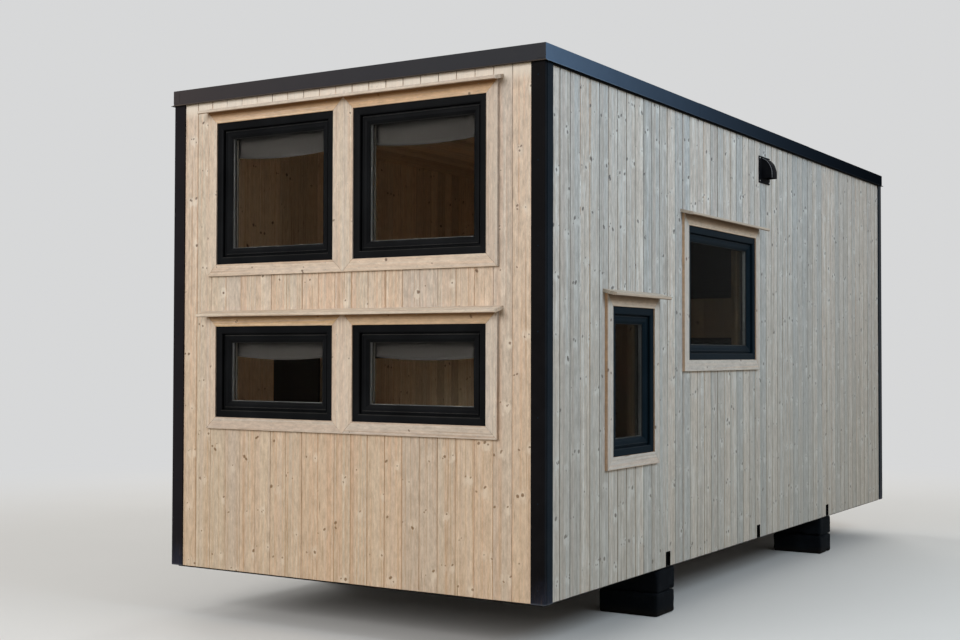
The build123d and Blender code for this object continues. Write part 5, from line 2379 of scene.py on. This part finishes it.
@dataclass
class WallVent:
    """A plate with a moulded cowl that opens downwards."""

    house: House
    centre: float = 0.122
    plate_width: float = 0.21
    plate_low: float = 2.698
    plate_high: float = 2.883
    plate_depth: float = 0.006
    cowl_low: float = 2.732
    cowl_high: float = 2.869
    lip: float = 0.022
    base_half: float = 0.061
    front_half: float = 0.046
    projection: float = 0.08
    shell: float = 0.003

    def section(self, z: float, shrink: float) -> list[Flat]:
        """Return the cowl's outline at a height, as distances along and out of the wall.

        Args:
            z: The height.
            shrink: How far inside the outer face it is.

        Returns:
            The open outline from the left edge at the wall to the right one.
        """
        shoulder = self.cowl_low + self.lip
        reach = self.projection - shrink
        if z > shoulder:
            share = (z - shoulder) / (self.cowl_high - shrink - shoulder)
            reach *= sqrt(max(0.0, 1 - share ** 2))
        taper = (self.base_half - self.front_half) / self.projection
        radius = min(0.012, reach * 0.6)
        half_end = self.base_half - shrink - taper * reach
        made = [(-(self.base_half - shrink), 0.0)]
        for a in (QUARTER * k / 6 for k in range(7)):
            made.append((-half_end + radius * (1 - cos(a)), reach - radius * (1 - sin(a))))
        return made + [(-u, w) for u, w in reversed(made)]

    def cowl(self, face: Face) -> tuple[list[list[Vector]], list[list[Vector]]]:
        """Return the rings of the cowl's outer and inner face.

        Args:
            face: The wall.

        Returns:
            Both sets of rings, from the lip upwards.
        """
        low, high, shoulder = self.cowl_low, self.cowl_high, self.cowl_low + self.lip
        levels = [low, low + 0.0012, *(low + self.lip * i / 3 for i in (1, 2, 3))]
        levels += [shoulder + (high - shoulder) * sin(QUARTER * i / 18) for i in range(1, 18)]
        levels.append(high - 0.0004)
        outer, inner = [], []
        for z in levels:
            inside = low + (z - low) / (high - low) * (high - self.shell - low)
            below = min(inside, high - self.shell - 0.0003)
            outer.append([face.at(self.centre + u, z, w + 0.001) for u, w in self.section(z, 0.0)])
            inner.append([
                face.at(self.centre + u, inside, max(w, 0.0) + 0.001)
                for u, w in self.section(below, self.shell)
            ])
        return outer, inner

    def build(self) -> None:
        """Build the plate with its screws, and the cowl."""
        sketch, face = Sketch(), self.house.face(Side.RIGHT)
        low, high, half = self.plate_low, self.plate_high, self.plate_width / 2
        outline = eased(Rect(self.centre - half, self.centre + half, low, high).corners(), 0.008, 5)
        sketch.plate(face, outline, self.plate_depth, 0.0, 0.0022, steps=3)
        outer, inner = self.cowl(face)
        sketch.slab(outer, inner, (0.01, 0.01))
        # Two thin grey tubes along the cowl's ridges are painted highlights.
        sketch.slot = 2
        for i in (3, -4):
            sketch.tube([(ring[i], 0.0019) for ring in outer[1:-2]], face.along, 10)
        sketch.slot = 1
        for u, z in product((-1, 1), (low + 0.014, high - 0.014)):
            along = self.centre + u * (half - 0.016)
            sketch.stud(face, along, z, self.plate_depth, 0.0046, 0.0018, 14, 0.0016)
        sketch.piece(
            "wall_vent_plate_and_cowl", Palette.VENT_PLASTIC, Palette.SCREW, Palette.VENT_RIDGE_HIGHLIGHT,
            nodes=["wall_vent"], slot="vent_plastic", smooth=35,
        )


# Base

@dataclass
class Piers(WallPart):
    """Stacks of two rough blocks under the cross tubes of one wall."""

    width: float = 0.248
    depth: float = 0.39
    height: float = 0.135
    setback: float = 0.005
    cell: float = 0.013

    @staticmethod
    def skin(flat: Vector, size: Vector, centre: Vector, seed: float) -> Vector:
        """Return a point of a block's skin, pulled in where it is rough or worn.

        Args:
            flat: The point of the plain block, from its middle.
            size: The block's size.
            centre: Its middle.
            seed: Where its roughness is read.

        Returns:
            The point.
        """
        place = flat + centre
        near = [s / 2 - abs(p) for p, s in zip(flat, size)]
        _, second, third = sorted(near)
        worn = max(0.0, 0.007 - second) * 0.55 + max(0.0, 0.007 - third) * 0.2
        rough = space_noise.fractal(place * 26.0 + Vector((seed, seed * 2, 0)), 0.6, 2.0, 4)
        chip = space_noise.noise(place * 9.0 + Vector((0, seed, 5)))
        if second < 0.02 and chip > 0.32:
            worn += (chip - 0.32) * 0.035
        pull = Vector([-copysign(1.0, p) if n < 0.02 else 0.0 for p, n in zip(flat, near)])
        return centre + flat + pull * min(max(0.0, 0.0008 + 0.0007 * rough) + worn, 0.016)

    def block(self, sketch: Sketch, centre: Vector, size: Vector, seed: float) -> None:
        """Add one block with worn edges and a rough skin.

        Args:
            sketch: Where it goes.
            centre: Its middle.
            size: Its outer size.
            seed: Where its roughness is read.
        """
        counts = [max(4, round(s / self.cell)) for s in size]
        made: dict[tuple[int, ...], int] = {}
        for axis in range(3):
            a, b = (axis + 1) % 3, (axis + 2) % 3
            for end, i, j in product((0, counts[axis]), range(counts[a]), range(counts[b])):
                keys = []
                for di, dj in ((0, 0), (1, 0), (1, 1), (0, 1)):
                    key = [0, 0, 0]
                    key[axis], key[a], key[b] = end, i + di, j + dj
                    keys.append(tuple(key))
                for key in keys:
                    if key not in made:
                        flat = Vector([(2 * k / c - 1) * s / 2 for k, c, s in zip(key, counts, size)])
                        made[key] = sketch.add([self.skin(flat, size, centre, seed)])
                sketch.face((made[k] for k in keys), ((0, 0), (0.01, 0), (0.01, 0.01), (0, 0.01)))

    def build(self) -> None:
        """Build the wall's two piers."""
        sketch, turn = Sketch(), 1 if self.side is Side.RIGHT else -1
        size = Vector((self.depth - 0.01, self.width, self.height))
        for index, course in product(range(2), range(2)):
            place = self.house.tube_places[index * 2] + (0.006 if course else -0.006) * turn
            out = -self.setback - self.depth / 2 - (0.004 if course else 0.0)
            centre = self.face.at(place, (course + 0.5) * self.height, out)
            self.block(sketch, centre, size, index * 3.7 + course * 11.3)
        self.piece(sketch, "piers", "blocks", Palette.BLOCK, slot="block_concrete", smooth=32)


def dress_nodes() -> None:
    """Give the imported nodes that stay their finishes."""
    finishes: dict[str, Finish] = {
        "front_wall": Palette.STUDS, "rear_wall": Palette.STUDS, "right_wall": Palette.STUDS,
        "left_wall": Palette.STUDS, "floor_cassette": Palette.UNDERSIDE, "cross_tubes": Palette.BASE_STEEL,
        "side_rails": Palette.BASE_STEEL, "end_rails": Palette.BASE_STEEL, "roof_deck": Palette.FELT,
    }
    for name, finish in finishes.items():
        for slot in bpy.data.objects[name].material_slots:
            slot.material = Palette.get(finish)
        log.info("%s: kept, %s", name, finish.name)


# Studio

@dataclass(frozen=True)
class Camera:
    """The photograph's viewpoint, solved from the walls' straight edges."""

    place: Place = (4.55912, -8.95236, 1.52157)
    yaw: float = 31.74716
    pitch: float = 1.40808
    roll: float = 0.13352
    focal: float = 1374.931
    picture: tuple[int, int] = (960, 640)

    def build(self) -> None:
        """Build the camera and make it the scene's."""
        yaw, pitch, roll = (radians(a) for a in (self.yaw, self.pitch, self.roll))
        flat = cos(pitch)
        ahead = Vector((-sin(yaw) * flat, cos(yaw) * flat, sin(pitch)))
        level = Vector((cos(yaw), sin(yaw), 0))
        upright = level.cross(ahead)
        right = level * cos(roll) + upright * sin(roll)
        up = upright * cos(roll) - level * sin(roll)
        data = bpy.data.cameras.new("camera")
        data.sensor_width = 36.0
        data.lens = self.focal / self.picture[0] * data.sensor_width
        data.clip_end = 200.0
        made = placed("camera", data)
        turn = Matrix((right, up, -ahead)).transposed()
        made.matrix_world = Matrix.Translation(self.place) @ turn.to_4x4()
        bpy.context.scene.camera = made


class Lamp(NamedTuple):
    """A soft square lamp aimed at a point."""

    name: str
    place: Place
    target: Place
    size: Flat
    power: float
    colour: Colour


@dataclass(frozen=True)
class Studio:
    """A pale floor and plain soft light."""

    floor_half: float = 90.0
    sky: Colour = (1.0, 0.985, 0.96)
    sky_strength: float = 0.45
    lamps: tuple[Lamp, ...] = (
        Lamp("key", (-1.4, -12.0, 5.2), (0.0, -2.5, 1.3), (6.0, 5.0), 612.0, (1.0, 0.98, 0.965)),
        Lamp("cool_side", (8.0, -2.4, 5.9), (1.2, -0.2, 1.4), (3.4, 3.4), 345.0, (0.78, 0.9, 1.0)),
        Lamp("far_side", (-11.0, 5.0, 8.0), (-1.0, 1.0, 1.4), (6.0, 6.0), 440.0, (1.0, 0.97, 0.93)),
        Lamp("rear", (-2.0, 12.0, 8.0), (0.0, 2.5, 1.4), (6.0, 6.0), 480.0, (1.0, 0.97, 0.93)),
    )

    def floor(self) -> None:
        """Build the floor."""
        h = self.floor_half
        mesh = bpy.data.meshes.new("studio_floor")
        mesh.from_pydata([(-h, -h, 0), (h, -h, 0), (h, h, 0), (-h, h, 0)], [], [(0, 1, 2, 3)])
        mesh.materials.append(Palette.get(Palette.FLOOR))
        made = placed("studio_floor", mesh)

    def light(self) -> None:
        """Set the world and the lamps."""
        world = bpy.data.worlds.new("studio")
        world.use_nodes = True
        g = Graph.of(world.node_tree)
        light = g.put("Background", {"Color": self.sky, "Strength": self.sky_strength})
        shown = g.put("Background", {"Color": Palette.FLOOR.far, "Strength": 1.0})
        both = g.put("MixShader", {0: seen(g), 1: g.wire(light), 2: g.wire(shown)})
        g.put("OutputWorld", {"Surface": g.wire(both)})
        bpy.context.scene.world = world
        for lamp in self.lamps:
            data = bpy.data.lights.new(lamp.name, "AREA")
            data.shape = "RECTANGLE"
            data.size, data.size_y = lamp.size
            data.energy, data.color = lamp.power, lamp.colour
            made = placed(lamp.name, data)
            turn = (Vector(lamp.target) - Vector(lamp.place)).to_track_quat("-Z", "Y")
            made.matrix_world = Matrix.Translation(lamp.place) @ turn.to_matrix().to_4x4()

    def build(self) -> None:
        """Build the stage and set how the picture is shown."""
        self.floor()
        self.light()
        bpy.context.scene.view_settings.view_transform = "Standard"


# The whole house


def main() -> None:
    """Build the studio, then the house from its base up."""
    logging.basicConfig(level=logging.INFO, format="%(message)s")
    house = House()
    Camera().build()
    Studio().build()
    dress_nodes()
    for side in (Side.RIGHT, Side.LEFT):
        Piers(house, side).build()
    Room(house).build()
    for side, cover, joint in (
        (Side.FRONT, 0.1125, 0.611), (Side.REAR, 0.1125, 0.598), (Side.RIGHT, 0.1108, -2.053),
        (Side.LEFT, 0.1108, 1.977),
    ):
        Cladding(house, side, cover, joint).build()
        for part in (WindowSet, Casings, Hoods):
            part(house, side).build()
    for side in (Side.FRONT, Side.REAR, Side.LEFT):
        Blinds(house, side).build()
    Door(house, Side.LEFT).build()
    for part in (CornerTrims, RoofCaps, RoofSheet, WallVent):
        part(house).build()


if __name__ == "__main__":
    main()
